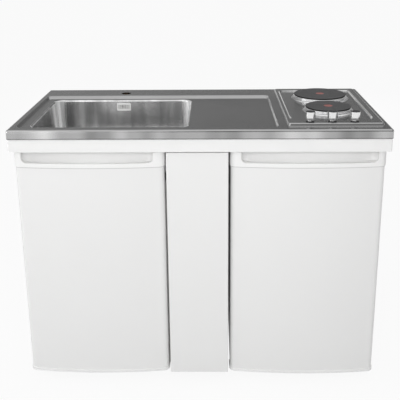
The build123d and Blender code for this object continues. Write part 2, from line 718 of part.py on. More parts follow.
def hob_boss(plate, drop):
    """Cone-sided boss that carries a hotplate's ring, lowered by drop."""
    land = plate.radius + RING_WIDTH + HOB_BOSS_LAND
    return turned(
        [
            (0, hob_top - SHEET - drop),
            (land + HOB_BOSS_SLOPE, hob_top - SHEET - drop),
            (land + HOB_BOSS_SLOPE, hob_top - drop),
            (land, boss_top - drop),
            (0, boss_top - drop),
        ],
        hob_mid,
        plate.y,
    )


def hob_panel():
    """Raised steel panel with bosses for the hotplates, a bead and shaft holes."""
    panel = hob_form(0) - hob_form(SHEET) + hob_bead()
    for plate in (front_plate, rear_plate):
        hole = plate.radius - PLATE_BODY_INSET + PLATE_HOLE_CLEARANCE
        panel += hob_boss(plate, 0)
        panel -= hob_boss(plate, SHEET)
        panel -= rod(hob_mid, plate.y, (hob_under, boss_top), 2 * hole)
    for x in knob_places():
        panel -= rod(x, knob_y, (hob_under, hob_top), SHAFT_HOLE)
    return panel


def hotplate(plate):
    """Cast plate: flat top with a centre recess, a rim on the ring and a hollow body below."""
    rim = plate.radius
    body = plate.radius - PLATE_BODY_INSET
    web = plate_top - PLATE_WEB
    return turned(
        [
            (0, plate_top - PLATE_DOT_DEPTH),
            (PLATE_DOT / 2, plate_top - PLATE_DOT_DEPTH),
            (PLATE_DOT / 2, plate_top),
            (rim - PLATE_BEVEL, plate_top),
            (rim, plate_top - PLATE_BEVEL),
            (rim, plate_seat),
            (body, plate_seat),
            (body, plate_bottom),
            (body - PLATE_WALL, plate_bottom),
            (body - PLATE_WALL, web),
            (PLATE_BOSS / 2, web),
            (PLATE_BOSS / 2, plate_bottom),
            (0, plate_bottom),
        ],
        hob_mid,
        plate.y,
    )


def hotplate_ring(plate):
    """Polished spill ring of two rolls, the lower one wider, that carries the plate's rim."""
    inner = plate.radius - PLATE_BODY_INSET + PLATE_HOLE_CLEARANCE
    middle = (boss_top + plate_seat) / 2
    foot = (plate.radius + RING_WIDTH / 2, boss_top)
    waist = (plate.radius, middle)
    brim = (plate.radius - RING_ROLL, plate_seat)
    outline = make_face(
        Polyline(brim, (inner, plate_seat), (inner, boss_top), foot)
        + ThreePointArc(foot, (plate.radius + RING_WIDTH, (boss_top + middle) / 2), waist)
        + ThreePointArc(waist, (plate.radius + RING_ROLL, (middle + plate_seat) / 2), brim)
    )
    return Pos(hob_mid, plate.y, 0) * revolve(Plane.XZ * outline, Axis.Z)


def hotplate_clamp(plate):
    """Sprung bar under a hotplate whose turned-up ends bear on the boss."""
    reach = plate.radius + CLAMP_REACH
    x = (hob_mid - reach, hob_mid + reach)
    y = (plate.y - CLAMP_WIDTH / 2, plate.y + CLAMP_WIDTH / 2)
    bar = span_box(x, y, (plate_bottom - CLAMP_THICK, boss_top - SHEET))
    return bar - span_box(grown(x, -CLAMP_THICK), y, (plate_bottom, boss_top - SHEET))


def hob_tray():
    """Open steel box under the hob panel."""
    z = (hob_under - TRAY_DEPTH, hob_under)
    box = rounded_prism(tray_x, tray_y, z, HOB_CUT_CORNER)
    inner_z = (z[0] + SHEET, z[1])
    return box - rounded_prism(grown(tray_x, -SHEET), grown(tray_y, -SHEET), inner_z, HOB_CUT_CORNER - SHEET)


def knob_places():
    """X of the knobs for the rear plate, the front plate and the timer."""
    return [hob_mid + KNOB_OFFSET + KNOB_SPACING * step for step in (-1, 0, 1)]


def hob_switch(x):
    """Switch body under the panel, with a bore for its shaft."""
    y = (tray_y[0] + SHEET + SWITCH_FRONT_GAP, tray_y[0] + SHEET + SWITCH_FRONT_GAP + SWITCH_WIDTH)
    z = (hob_under - SWITCH_HEIGHT, hob_under)
    body = span_box((x - SWITCH_WIDTH / 2, x + SWITCH_WIDTH / 2), y, z)
    body = chamfer(body.edges().filter_by(Axis.Z), SWITCH_FRONT_GAP)
    bore_z = (hob_under - SHAFT_IN_SWITCH - SHAFT_CLEARANCE, hob_under)
    return body - rod(x, knob_y, bore_z, SHAFT_DIAMETER + 2 * SHAFT_CLEARANCE)


def switch_shaft(x):
    """Turning shaft from the switch into the knob."""
    return rod(x, knob_y, (hob_under - SHAFT_IN_SWITCH, knob_z + SHAFT_IN_KNOB), SHAFT_DIAMETER)


def knob(x):
    """Turned knob: dark skirt, waisted neck and a cylindrical head with a pointer notch."""
    head = KNOB_DIAMETER / 2
    neck = KNOB_NECK / 2
    skirt = KNOB_SKIRT / 2
    bore = SHAFT_DIAMETER / 2 + SHAFT_CLEARANCE
    top_z = knob_z + KNOB_HEIGHT
    shoulder = top_z - KNOB_HEAD
    body = turned(
        [
            (bore, knob_z),
            (skirt, knob_z),
            (skirt, knob_z + KNOB_SKIRT_HEIGHT / 2),
            (neck, knob_z + KNOB_SKIRT_HEIGHT),
            (neck, knob_z + 2 * KNOB_SKIRT_HEIGHT),
            (head, shoulder),
            (head, top_z - KNOB_TOP_EDGE),
            (head - KNOB_TOP_EDGE, top_z),
            (0, top_z),
            (0, knob_z + SHAFT_IN_KNOB),
            (bore, knob_z + SHAFT_IN_KNOB),
        ],
        x,
        knob_y,
    )
    notch = (knob_y - head, knob_y - head / 2)
    half = KNOB_TOP_EDGE / 2
    return body - span_box((x - half, x + half), notch, (top_z - KNOB_TOP_EDGE, top_z))


# Apron and boards

def apron_front():
    """White front board under the worktop's edge."""
    x = grown((left_end, right_end), -APRON_INSET)
    y = (front + APRON_INSET, front + APRON_INSET + APRON_THICK)
    board = span_box(x, y, (apron_bottom, edge_bottom))
    outer = board.edges().filter_by(Axis.Z).group_by(Axis.Y)[0]
    return fillet(outer, APRON_THICK / 3)


def apron_sides():
    """The two end boards of the apron."""
    y = (front + APRON_INSET + APRON_THICK, carcass_back)
    outer = right_end - APRON_INSET
    z = (apron_bottom, edge_bottom)
    right = span_box((outer - APRON_THICK, outer), y, z)
    left = span_box((-outer, APRON_THICK - outer), y, z)
    return Compound([left, right])


def apron_rear():
    """Rear board of the apron, against the wall."""
    x = grown((left_end, right_end), -APRON_INSET)
    return span_box(x, (carcass_back, back - APRON_INSET), (apron_bottom, edge_bottom))


def worktop_bearer():
    """Upright board on the fridge that carries the right end of the worktop."""
    x = (carcass_x[1] - BOARD, carcass_x[1])
    y = (fridge_front + BEARER_FRONT_GAP, carcass_back)
    return span_box(x, y, (cabinet_top, board_z[0]))


def cupboard_sides():
    """The two side boards that carry the worktop."""
    y = (cupboard_front, carcass_back)
    z = (FOOT_HEIGHT, board_z[0])
    left = span_box((cupboard_x[0], cupboard_inner[0]), y, z)
    right = span_box((cupboard_inner[1], cupboard_x[1]), y, z)
    return Compound([left, right])


def cupboard_bottom():
    """Floor board between the sides."""
    return span_box(cupboard_inner, (cupboard_front, cupboard_back[0]), (FOOT_HEIGHT, FOOT_HEIGHT + BOARD))


def cupboard_back_panel():
    """Thin back panel with a hole for the waste pipe."""
    panel = span_box(cupboard_inner, cupboard_back, (FOOT_HEIGHT, cabinet_top))
    hole = OUTLET_SPIGOT + 2 * PIPE_HOLE_CLEARANCE
    return panel - rod_along_y(bowl_centre[0], cupboard_back, outlet_z, hole)


def cupboard_shelf():
    """Fixed shelf housed between the sides."""
    z = (SHELF_HEIGHT, SHELF_HEIGHT + BOARD)
    return span_box(cupboard_inner, (cupboard_front + SHELF_SETBACK, cupboard_back[0]), z)


def cupboard_stile():
    """Upright behind the gap between the door and the filler panel."""
    middle = filler_x[0] - FILLER_GAP / 2
    x = (middle - STILE_WIDTH / 2, middle + STILE_WIDTH / 2)
    return span_box(x, (cupboard_front, cupboard_front + BOARD), (FOOT_HEIGHT + BOARD, stile_top))


def filler_panel():
    """Folded sheet front between the doors, flanged to the stile and a side board, clear of the bowl."""
    y = (front + FILLER_SETBACK, cupboard_front)
    z = (door_z[0], door_z[1])
    pan = span_box(filler_x, y, z)
    pan = fillet(pan.edges().filter_by(Axis.Z).group_by(Axis.Y)[0], FILLER_EDGE)
    hollow = span_box(grown(filler_x, -FILLER_SHEET), (y[0] + FILLER_SHEET, y[1] - FILLER_SHEET), z)
    hollow = fillet(hollow.edges().filter_by(Axis.Z).group_by(Axis.Y)[0], FILLER_EDGE - FILLER_SHEET)
    pan -= hollow + span_box(grown(filler_x, -FILLER_FLANGE), (y[1] - 2 * FILLER_SHEET, y[1]), z)
    notch_x = (filler_x[0], bowl_x[1] + FILLER_BOWL_GAP)
    notch_y = (bowl_y[0] - SHEET - FILLER_BOWL_GAP, y[1])
    return pan - span_box(notch_x, notch_y, (stile_top, z[1]))


# Doors and hinges

def hinge_centre(door):
    """Plan position of a door's hinge axis."""
    outer = door.x[1] if door.hinge_side > 0 else door.x[0]
    return (outer - door.hinge_side * HINGE_RADIUS, door.rear - HINGE_RADIUS)


def door_outline(door, grow=0.0):
    """Bowed plan of a door with rounded front edges and a round hinge corner, grown by a margin."""
    middle = sum(door.x) / 2
    bow = ThreePointArc((door.x[0], door_front), (middle, door_front - DOOR_BOW), (door.x[1], door_front))
    sides = Polyline(
        (door.x[1], door_front), (door.x[1], door.rear), (door.x[0], door.rear), (door.x[0], door_front)
    )
    plan = make_face(bow + sides)
    plan = fillet(plan.vertices().group_by(Axis.Y)[0], DOOR_EDGE)
    rear_corners = plan.vertices().group_by(Axis.Y)[-1].sort_by(Axis.X)
    hinge_corner = rear_corners[-1] if door.hinge_side > 0 else rear_corners[0]
    plan = fillet(hinge_corner, HINGE_RADIUS)
    return offset(plan, grow) if grow else plan


def door_prism(door, z, grow=0.0):
    """The door's outline between two heights, cut level with its rear face."""
    prism = Pos(0, 0, z[0]) * extrude(door_outline(door, grow), z[1] - z[0], dir=(0, 0, 1))
    if grow > 0:
        beyond = span_box(grown(door.x, 2 * grow), (door.rear, door.rear + 2 * grow), z)
        prism -= beyond
    return prism


def door_skin(door):
    """Painted sheet wrapped round the door, with returns at the rear."""
    shell = door_prism(door, skin_z) - door_prism(door, skin_z, -DOOR_SHEET)
    window = (door.rear - 2 * DOOR_SHEET, door.rear + DOOR_SHEET)
    return shell - span_box(grown(door.x, -DOOR_RETURN), window, skin_z)


def door_inner_span(door):
    """X, y and z of the plate that closes the door's rear behind the skin's returns."""
    y = (door.rear - DOOR_SHEET - DOOR_INNER, door.rear - DOOR_SHEET)
    return grown(door.x, -DOOR_INNER_INSET), y, skin_z


def hinge_bore(door, z):
    """Drill for a hinge pin."""
    return rod(*hinge_centre(door), z, HINGE_PIN + 2 * HINGE_PIN_CLEARANCE)


def scoop_span(door):
    """X of a scoop's two ends, nearer to the hinge side than to the free side."""
    margins = (SCOOP_HINGE_MARGIN, SCOOP_FREE_MARGIN)
    left, right = margins if door.hinge_side < 0 else margins[::-1]
    return (door.x[0] + left, door.x[1] - right)


def bowed_front(door, depth):
    """Plan of all that lies in front of a line bowed like the door, at a depth behind its front."""
    middle = sum(door.x) / 2
    rear = door_front + depth
    bow = ThreePointArc((door.x[0], rear), (middle, rear - DOOR_BOW), (door.x[1], rear))
    sides = Polyline((door.x[1], rear), (door.x[1], front), (door.x[0], front), (door.x[0], rear))
    return make_face(bow + sides)


def scoop_plan(door, margin):
    """Plan of a scoop with soft ends, open to the front."""
    x = grown(scoop_span(door), -margin)
    strip = Pos(sum(x) / 2, front) * Rectangle(x[1] - x[0], UNIT_DEPTH)
    plan = bowed_front(door, SCOOP_DEPTH) & strip
    return fillet(plan.vertices().sort_by(Axis.Y)[-2:], SCOOP_END)


def scoop(door):
    """Finger scoop along the top of a door, with a groove behind its lip."""
    floor = door_z[1] - SCOOP_HEIGHT
    hollow = Pos(0, 0, floor) * extrude(scoop_plan(door, 0), SCOOP_HEIGHT, dir=(0, 0, 1))
    x = scoop_span(door)
    brow = door_z[1] + SCOOP_CORNER
    window = Plane.XZ * make_face(
        Polyline((x[0], floor), (x[1], floor), (x[1], brow), (x[0], brow), close=True)
    )
    window = fillet(window.vertices().group_by(Axis.Z)[0], SCOOP_CORNER)
    hollow &= extrude(Pos(0, front, 0) * window, DOOR_SETBACK + SCOOP_DEPTH, dir=(0, 1, 0))
    plan = scoop_plan(door, SCOOP_CORNER) - bowed_front(door, SCOOP_LIP)
    groove = Pos(0, 0, floor - SCOOP_GROOVE) * extrude(plan, 2 * SCOOP_GROOVE, dir=(0, 0, 1))
    return hollow + groove


def scoop_mouth(cap):
    """Edges where the scoop breaks through the cap's bowed front."""
    low = door_z[1] - SCOOP_HEIGHT - SCOOP_BEVEL
    high = door_z[1] - SCOOP_BEVEL
    bowed = cap.faces().sort_by(Axis.Y)[0]
    return [edge for edge in bowed.edges() if low < edge.bounding_box().min.Z < high]


def door_top_cap(door):
    """Moulded cap with the finger scoop and the upper hinge bore."""
    z = (skin_z[1], door_z[1])
    cap = door_prism(door, z, CAP_OVERHANG) - scoop(door)
    cap = chamfer(scoop_mouth(cap), SCOOP_BEVEL)
    return cap - hinge_bore(door, (z[1] - TOP_PIN_LENGTH, z[1]))


def door_bottom_cap(door):
    """Moulded strip under the skin, with the lower hinge bore."""
    z = (door_z[0], skin_z[0])
    cap = door_prism(door, z, CAP_OVERHANG)
    cap = fillet(cap.faces().sort_by(Axis.Z)[0].edges().sort_by(Axis.Y)[0], BOTTOM_CAP_EDGE)
    return cap - hinge_bore(door, (z[0], z[0] + BOTTOM_PIN_LENGTH))


def hinge_arm(door, z):
    """Flat arm from the hinge axis back to the cabinet, with a round lug."""
    x, y = hinge_centre(door)
    inward = -door.hinge_side
    near = x + inward * HINGE_PIN / 2
    arm_x = sorted((near, near + inward * HINGE_ARM))
    lug = rod(x, y, z, 2 * HINGE_LUG)
    return lug + span_box(arm_x, (y - HINGE_LUG / 2, y + HINGE_REACH), z)


def top_hinges():
    """Upper brackets: one on the fridge's top, one flanged to the cupboard's left side board."""
    z = (cabinet_top, apron_bottom)
    brackets = []
    for door in (cupboard_door, fridge_door):
        x, y = hinge_centre(door)
        pin = rod(x, y, (door_z[1] - TOP_PIN_LENGTH + PIN_END_GAP, cabinet_top), HINGE_PIN)
        brackets.append(hinge_arm(door, z) + pin)
    seat = cupboard_inner[0]
    x, y = hinge_centre(cupboard_door)
    flange_y = (cupboard_front + HINGE_PLATE, y + HINGE_REACH)
    flange = span_box((seat, seat + HINGE_PLATE), flange_y, (cabinet_top - HINGE_FLANGE, apron_bottom))
    clear_x = (seat - HINGE_ARM, seat)
    brackets[0] = brackets[0] + flange - span_box(clear_x, (cupboard_front - HINGE_PLATE, back), z)
    return Compound(brackets)


def bottom_hinges():
    """Lower brackets under the cabinets, each with a pin up into its door."""
    z = (FOOT_HEIGHT - HINGE_PLATE, FOOT_HEIGHT)
    brackets = []
    for door in (cupboard_door, fridge_door):
        pin_z = (FOOT_HEIGHT, door_z[0] + BOTTOM_PIN_LENGTH - PIN_END_GAP)
        brackets.append(hinge_arm(door, z) + rod(*hinge_centre(door), pin_z, HINGE_PIN))
    return Compound(brackets)


# Fridge

def cabinet_profile(inset, y_front):
    """Side view of the fridge body with its machine space, drawn in by inset."""
    rear = fridge_back - inset
    floor = FOOT_HEIGHT + inset
    crown = cabinet_top - inset
    return [
        (y_front, floor),
        (machine_front - inset, floor),
        (machine_front - inset, machine_top + inset),
        (rear, machine_top + inset),
        (rear, crown),
        (y_front, crown),
    ]


def cavity(grow):
    """The cold space with its step over the compressor, grown by the liner's wall."""
    outline = [
        (fridge_front, cavity_z[0] - grow),
        (hump_front + grow, cavity_z[0] - grow),
        (hump_front + grow, hump_top - grow),
        (cavity_back + grow, hump_top - grow),
        (cavity_back + grow, cavity_z[1] + grow),
        (fridge_front, cavity_z[1] + grow),
    ]
    return swept_profile(outline, grown(cavity_x, grow))


def fridge_cabinet():
    """Outer sheet: two full sides, top, back, the step over the machine space and its floor."""
    y = (fridge_front, fridge_back)
    z = (FOOT_HEIGHT, cabinet_top)
    inner_x = grown(fridge_x, -FRIDGE_SHEET)
    wrapper = swept_profile(cabinet_profile(0, fridge_front), fridge_x)
    wrapper -= swept_profile(cabinet_profile(FRIDGE_SHEET, fridge_front), inner_x)
    sides = span_box(fridge_x, y, z) - span_box(inner_x, y, z)
    floor_z = (FOOT_HEIGHT, FOOT_HEIGHT + FLOOR_PLATE)
    floor = span_box(fridge_x, (machine_front, fridge_back), floor_z)
    return wrapper + sides + floor


def fridge_insulation():
    """Foam between the outer sheet and the liner."""
    foam = swept_profile(cabinet_profile(FRIDGE_SHEET, fridge_front + LINER), grown(fridge_x, -FRIDGE_SHEET))
    return foam - cavity(LINER)


def rib_tops():
    """Heights at which the glass shelves rest."""
    return [cavity_z[0] + level for level in (LOW_SHELF, MIDDLE_SHELF, HIGH_SHELF)]


def fridge_liner():
    """Moulded inner liner with a front flange and ribs for the shelves."""
    z = (FOOT_HEIGHT + FRIDGE_SHEET, cabinet_top - FRIDGE_SHEET)
    flange = span_box(grown(fridge_x, -FRIDGE_SHEET), (fridge_front, fridge_front + LINER), z)
    liner = flange + cavity(LINER) - cavity(0)
    rib_y = (fridge_front + RIB_FRONT, cavity_back)
    for level in rib_tops():
        rib_z = (level - RIB_HEIGHT, level)
        liner += span_box((cavity_x[0] - LINER, cavity_x[0] + RIB_DEPTH), rib_y, rib_z)
        liner += span_box((cavity_x[1] - RIB_DEPTH, cavity_x[1] + LINER), rib_y, rib_z)
    return liner


def fridge_shelves():
    """Glass shelves on the ribs, the lowest one over the crisper."""
    y = (fridge_front + GLASS_FRONT, cavity_back - GLASS_REAR_GAP)
    x = grown(cavity_x, -GLASS_SIDE_GAP)
    return Compound([rounded_prism(x, y, (level, level + GLASS), GLASS) for level in rib_tops()])


def ice_box():
    """Folded evaporator box under the ceiling, open to the front."""
    x = grown(cavity_x, -ICE_BOX_SIDE_GAP)
    y = (fridge_front + ICE_BOX_FRONT, cavity_back - ICE_BOX_REAR_GAP)
    box = span_box(x, y, ice_box_z)
    inner_y = (y[0], y[1] - ICE_BOX_WALL)
    return box - span_box(grown(x, -ICE_BOX_WALL), inner_y, grown(ice_box_z, -ICE_BOX_WALL))


def crisper():
    """Tapered drawer on the liner's floor, in front of the step."""
    x = grown(cavity_x, -CRISPER_SIDE_GAP)
    y = (fridge_front + CRISPER_FRONT, hump_front - CRISPER_REAR_GAP)
    rim = cavity_z[0] + CRISPER_HEIGHT
    down = (0, 0, -1)
    border = rounded_outline(x, y, rim, CRISPER_CORNER)
    outer = extrude(border, CRISPER_HEIGHT, dir=down, taper=CRISPER_DRAFT)
    inset = -CRISPER_WALL
    mouth = rounded_outline(grown(x, inset), grown(y, inset), rim, CRISPER_CORNER - CRISPER_WALL)
    return outer - extrude(mouth, CRISPER_HEIGHT - CRISPER_WALL, dir=down, taper=CRISPER_DRAFT)


def thermostat():
    """Housing on the right wall with a bore for its dial."""
    x = (cavity_x[1] - THERMOSTAT_DEPTH, cavity_x[1])
    y = (thermostat_front, thermostat_front + THERMOSTAT_LENGTH)
    housing = span_box(x, y, thermostat_z)
    housing = fillet(housing.edges().filter_by(Axis.Z).group_by(Axis.X)[0], LINER)
    bore = DIAL_STEM + 2 * SHAFT_CLEARANCE
    return housing - rod_along_y(dial_centre[0], (y[0], y[0] + DIAL_DEPTH + DIAL_GAP), dial_centre[1], bore)


def thermostat_dial():
    """Turning dial with a stem in the housing and a finger ridge."""
    face = thermostat_front - DIAL_GAP
    x, z = dial_centre
    disc = rod_along_y(x, (face - DIAL_DEPTH / 2, face), z, DIAL_DIAMETER)
    stem = rod_along_y(x, (face, thermostat_front + DIAL_DEPTH), z, DIAL_STEM)
    half = DIAL_STEM / 4
    ridge_z = (z - DIAL_DIAMETER / 2 + half, z + DIAL_DIAMETER / 2 - half)
    ridge = span_box((x - half, x + half), (face - DIAL_DEPTH, face - DIAL_DEPTH / 2), ridge_z)
    return disc + stem + ridge


def fridge_door_insulation():
    """Foam inside the fridge door."""
    foam = door_prism(fridge_door, skin_z, -DOOR_SHEET)
    x, y, z = door_inner_span(fridge_door)
    rear = (y[0], fridge_door.rear)
    return foam - span_box(grown(fridge_door.x, DOOR_SHEET), rear, z)


def dyke_span():
    """X and z of the raised frame on the fridge door's inside."""
    return grown(cavity_x, -DYKE_INSET), grown(cavity_z, -DYKE_INSET)


def cupboard_door_inner():
    """Plain panel that closes the rear of the cupboard door."""
    return span_box(*door_inner_span(cupboard_door))


def fridge_door_liner():
    """Moulded inner panel with a raised frame that carries the racks."""
    panel = span_box(*door_inner_span(fridge_door))
    x, z = dyke_span()
    y = (fridge_door.rear - DOOR_SHEET, fridge_door.rear - DOOR_SHEET + DYKE_DEPTH)
    frame = span_box(x, y, z) - span_box(grown(x, -DYKE_WIDTH), y, grown(z, -DYKE_WIDTH))
    frame = fillet(frame.faces().sort_by(Axis.Y)[-1].edges(), DYKE_WIDTH / 3)
    return panel + frame


def fridge_door_gasket():
    """Soft frame seal with a groove, on the skin's returns and the caps."""
    y = (fridge_door.rear, fridge_front - GASKET_RELIEF)
    x = grown(fridge_door.x, -GASKET_INSET)
    z = grown(door_z, -GASKET_INSET)
    inner_x = grown(x, -GASKET_WIDTH)
    inner_z = grown(z, -GASKET_WIDTH)
    seal = span_box(x, y, z) - span_box(inner_x, y, inner_z)
    wall = (GASKET_WIDTH - GASKET_GROOVE) / 2
    groove_y = (y[0] + GASKET_GROOVE, y[1] - GASKET_GROOVE)
    groove = span_box(x, groove_y, z) - span_box(grown(x, -wall), groove_y, grown(z, -wall))
    return seal - groove


def lower_front_edge(block):
    """The bottom edge of a rack on the side that faces into the fridge."""
    return block.edges().filter_by(Axis.X).group_by(Axis.Z)[0].sort_by(Axis.Y)[-1]


def fridge_door_racks():
    """Bottle racks between the uprights of the raised frame."""
    frame_x, frame_z = dyke_span()
    x = grown(frame_x, -DYKE_WIDTH)
    rear = fridge_door.rear - DOOR_SHEET
    y = (rear, rear + RACK_DEPTH)
    racks = []
    for level in (LOW_RACK, MIDDLE_RACK, HIGH_RACK):
        z = (cavity_z[0] + level, cavity_z[0] + level + RACK_HEIGHT)
        rack = span_box(x, y, z)
        rack = fillet(lower_front_edge(rack), RACK_FLOOR_RADIUS)
        inside = span_box(grown(x, -RACK_WALL), grown(y, -RACK_WALL), (z[0] + RACK_WALL, z[1]))
        racks.append(rack - fillet(lower_front_edge(inside), RACK_FLOOR_RADIUS - RACK_WALL))
    return Compound(racks)


def compressor():
    """Welded compressor shell on its plate and rubber grommets."""
    x, y = compressor_centre
    radius = COMPRESSOR_DIAMETER / 2
    plate_z = FOOT_HEIGHT + FLOOR_PLATE + GROMMET_HEIGHT
    foot = plate_z + COMPRESSOR_PLATE
    seam = foot + COMPRESSOR_SEAM_HEIGHT
    crown = seam + COMPRESSOR_DOME
    centre_z = seam + (COMPRESSOR_DOME ** 2 - radius ** 2) / (2 * COMPRESSOR_DOME)
    half_way = (crown - centre_z) * cos(radians(45))
    lip = COMPRESSOR_SEAM
    outline = make_face(
        Polyline(
            (0, foot), (radius - 3 * lip, foot), (radius, foot + 3 * lip), (radius, seam - lip),
            (radius + lip, seam - lip), (radius + lip, seam), (radius, seam),
        )
        + ThreePointArc((radius, seam), (half_way, centre_z + half_way), (0, crown))
        + Polyline((0, crown), (0, foot))
    )
    shell = Pos(x, y, 0) * revolve(Plane.XZ * outline, Axis.Z)
    plate_x = (x - radius - 2 * GROMMET_DIAMETER, x + radius + 2 * GROMMET_DIAMETER)
    plate_y = (y - radius / 2, y + radius / 2)
    shell += rounded_prism(plate_x, plate_y, (plate_z, foot), GROMMET_DIAMETER / 2)
    corner_x = grown(plate_x, -GROMMET_DIAMETER)
    corner_y = grown(plate_y, -GROMMET_DIAMETER)
    for gx in corner_x:
        for gy in corner_y:
            shell += rod(gx, gy, (FOOT_HEIGHT + FLOOR_PLATE, plate_z), GROMMET_DIAMETER)
    return shell


def condenser():
    """Serpentine tube with upright wires on clips behind the fridge, led down to the compressor."""
    y = fridge_back + CONDENSER_STANDOFF
    x = grown(fridge_x, -CONDENSER_MARGIN)
    lowest = machine_top + CONDENSER_BOTTOM
    points = []
    for run in range(CONDENSER_RUNS):
        z = lowest + CONDENSER_PITCH * (CONDENSER_RUNS - 1 - run)
        ends = x if run % 2 == 0 else x[::-1]
        points += [(ends[0], y, z), (ends[1], y, z)]
    drop_z = FOOT_HEIGHT + MACHINE_HEIGHT / 3
    inlet = compressor_centre[1] + COMPRESSOR_DIAMETER / 2
    points[-1] = (compressor_centre[0], y, points[-1][2])
    points += [(compressor_centre[0], y, drop_z), (compressor_centre[0], inlet, drop_z)]
    tube_r = CONDENSER_TUBE / 2
    route = FilletPolyline(*points, radius=CONDENSER_TUBE * 2)
    start = Plane(points[0], z_dir=(1, 0, 0))
    tube = sweep(start * Circle(tube_r), path=route)
    top_z = lowest + CONDENSER_PITCH * (CONDENSER_RUNS - 1)
    wire_z = (lowest - CONDENSER_CLIP, top_z + CONDENSER_CLIP)
    wire_y = (y + tube_r, y + tube_r + CONDENSER_WIRE)
    pitch = (x[1] - x[0] - 2 * CONDENSER_MARGIN) / (CONDENSER_WIRES - 1)
    first = x[0] + CONDENSER_MARGIN
    solids = [tube]
    for number in range(CONDENSER_WIRES):
        centre = first + pitch * number
        solids.append(span_box(grown((centre, centre), CONDENSER_WIRE / 2), wire_y, wire_z))
    for cx in grown(x, -2 * CONDENSER_CLIP):
        for cz in (lowest, top_z):
            clip_x = grown((cx, cx), CONDENSER_CLIP / 2)
            clip_z = grown((cz, cz), CONDENSER_CLIP / 2)
            solids.append(span_box(clip_x, (fridge_back, y - tube_r), clip_z))
    return Compound(solids)


def feet():
    """Levelling feet under the cupboard and the fridge."""
    pad = FOOT_PAD / 2
    stem = FOOT_STEM / 2
    head = FOOT_TOP / 2
    outline = [
        (0, 0),
        (pad, 0),
        (pad, FOOT_PAD_HEIGHT / 2),
        (stem, FOOT_PAD_HEIGHT),
        (stem, FOOT_HEIGHT - FOOT_TOP_HEIGHT),
        (head, FOOT_HEIGHT - FOOT_TOP_HEIGHT),
        (head, FOOT_HEIGHT),
        (0, FOOT_HEIGHT),
    ]
    placed = []
    for span, y_front, y_rear in (
        (cupboard_x, cupboard_front, cupboard_back[0]),
        (fridge_x, fridge_front, fridge_back),
    ):
        for x in grown(span, -FOOT_SIDE_INSET):
            for y in (y_front + FOOT_FRONT_INSET, y_rear - FOOT_REAR_INSET):
                placed.append(turned(outline, x, y))
    return Compound(placed)


def pieces():
    """Every node of the unit by name."""
    nodes = {
        "worktop": worktop(),
        "sink_bowl": sink_bowl(),
        "support_board": support_board(),
        "overflow_grille": overflow_grille(),
        "overflow_pipe": overflow_pipe(),
        "sink_waste": sink_waste(),
        "strainer_basket": strainer_basket(),
        "trap_body": trap_body(),
        "trap_cup": trap_cup(),
        "waste_pipe": waste_pipe(),
        "hob_panel": hob_panel(),
        "front_hotplate": hotplate(front_plate),
        "rear_hotplate": hotplate(rear_plate),
        "front_hotplate_ring": hotplate_ring(front_plate),
        "rear_hotplate_ring": hotplate_ring(rear_plate),
        "hotplate_clamps": Compound([hotplate_clamp(front_plate), hotplate_clamp(rear_plate)]),
        "hob_tray": hob_tray(),
        "hob_switches": Compound([hob_switch(x) for x in knob_places()]),
        "apron_front": apron_front(),
        "apron_sides": apron_sides(),
        "apron_rear": apron_rear(),
        "worktop_bearer": worktop_bearer(),
        "cupboard_sides": cupboard_sides(),
        "cupboard_bottom": cupboard_bottom(),
        "cupboard_back": cupboard_back_panel(),
        "cupboard_shelf": cupboard_shelf(),
        "cupboard_stile": cupboard_stile(),
        "filler_panel": filler_panel(),
        "top_hinges": top_hinges(),
        "bottom_hinges": bottom_hinges(),
        "cupboard_door_inner": cupboard_door_inner(),
        "fridge_cabinet": fridge_cabinet(),
        "fridge_insulation": fridge_insulation(),
        "fridge_liner": fridge_liner(),
        "fridge_shelves": fridge_shelves(),
        "ice_box": ice_box(),
        "crisper": crisper(),
        "thermostat": thermostat(),
        "thermostat_dial": thermostat_dial(),
        "fridge_door_insulation": fridge_door_insulation(),
        "fridge_door_liner": fridge_door_liner(),
        "fridge_door_gasket": fridge_door_gasket(),
        "fridge_door_racks": fridge_door_racks(),
        "compressor": compressor(),
        "condenser": condenser(),
        "feet": feet(),
    }
    for name, door in (("cupboard_door", cupboard_door), ("fridge_door", fridge_door)):
        nodes[name + "_skin"] = door_skin(door)
        nodes[name + "_top_cap"] = door_top_cap(door)
        nodes[name + "_bottom_cap"] = door_bottom_cap(door)
    for name, x in zip(("rear_plate", "front_plate", "timer"), knob_places()):
        nodes[name + "_shaft"] = switch_shaft(x)
        nodes[name + "_knob"] = knob(x)
    return nodes


def main():
    """Write one STEP file for each node."""
    os.makedirs("parts", exist_ok=True)
    for name, solid in pieces().items():
        export_step(solid, f"parts/{name}.step")


main()
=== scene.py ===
"""Looks of the mini kitchen unit: procedural materials, studio light and the camera, in metres."""

import math

import bpy
from mathutils import Euler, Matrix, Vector


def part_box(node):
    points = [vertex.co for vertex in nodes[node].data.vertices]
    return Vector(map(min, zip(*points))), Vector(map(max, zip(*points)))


# Camera: in front of the worktop, looking slightly down, angles in degrees from level
CAMERA_X = 0.052
CAMERA_DISTANCE = 2.0
CAMERA_ELEVATION = 15.5
CAMERA_PITCH = 16.0
CAMERA_YAW = 1.2
CAMERA_ROLL = -0.5
LEVEL = 90.0
FOCAL_PIXELS = 676.0
IMAGE_PIXELS = 400.0
SENSOR_MM = 36.0
SHIFT_X = -0.005
SHIFT_Y = -0.16

# Textures: the band that holds most values of a noise, cycles per metre, octaves of fine noise
# and the depth of fine relief
NOISE_BAND = (0.3, 0.7)
SHEET_GRAIN = (12.0, 900.0, 900.0)
PLATING_GRAIN = (400.0, 400.0, 60.0)
CLOUDS = 7.0
HIGHLIGHT_MOTTLE = 60.0
WAVES = 20.0
FINE_DETAIL = 2.0
RELIEF = 0.0002

# Stretches and offset of a texture
EVEN = (1.0, 1.0, 1.0)
IN_PLAN = (1.0, 1.0, 0.0)
ALONG_X = (1.0, 0.0, 0.0)
ORIGIN = (0.0, 0.0, 0.0)

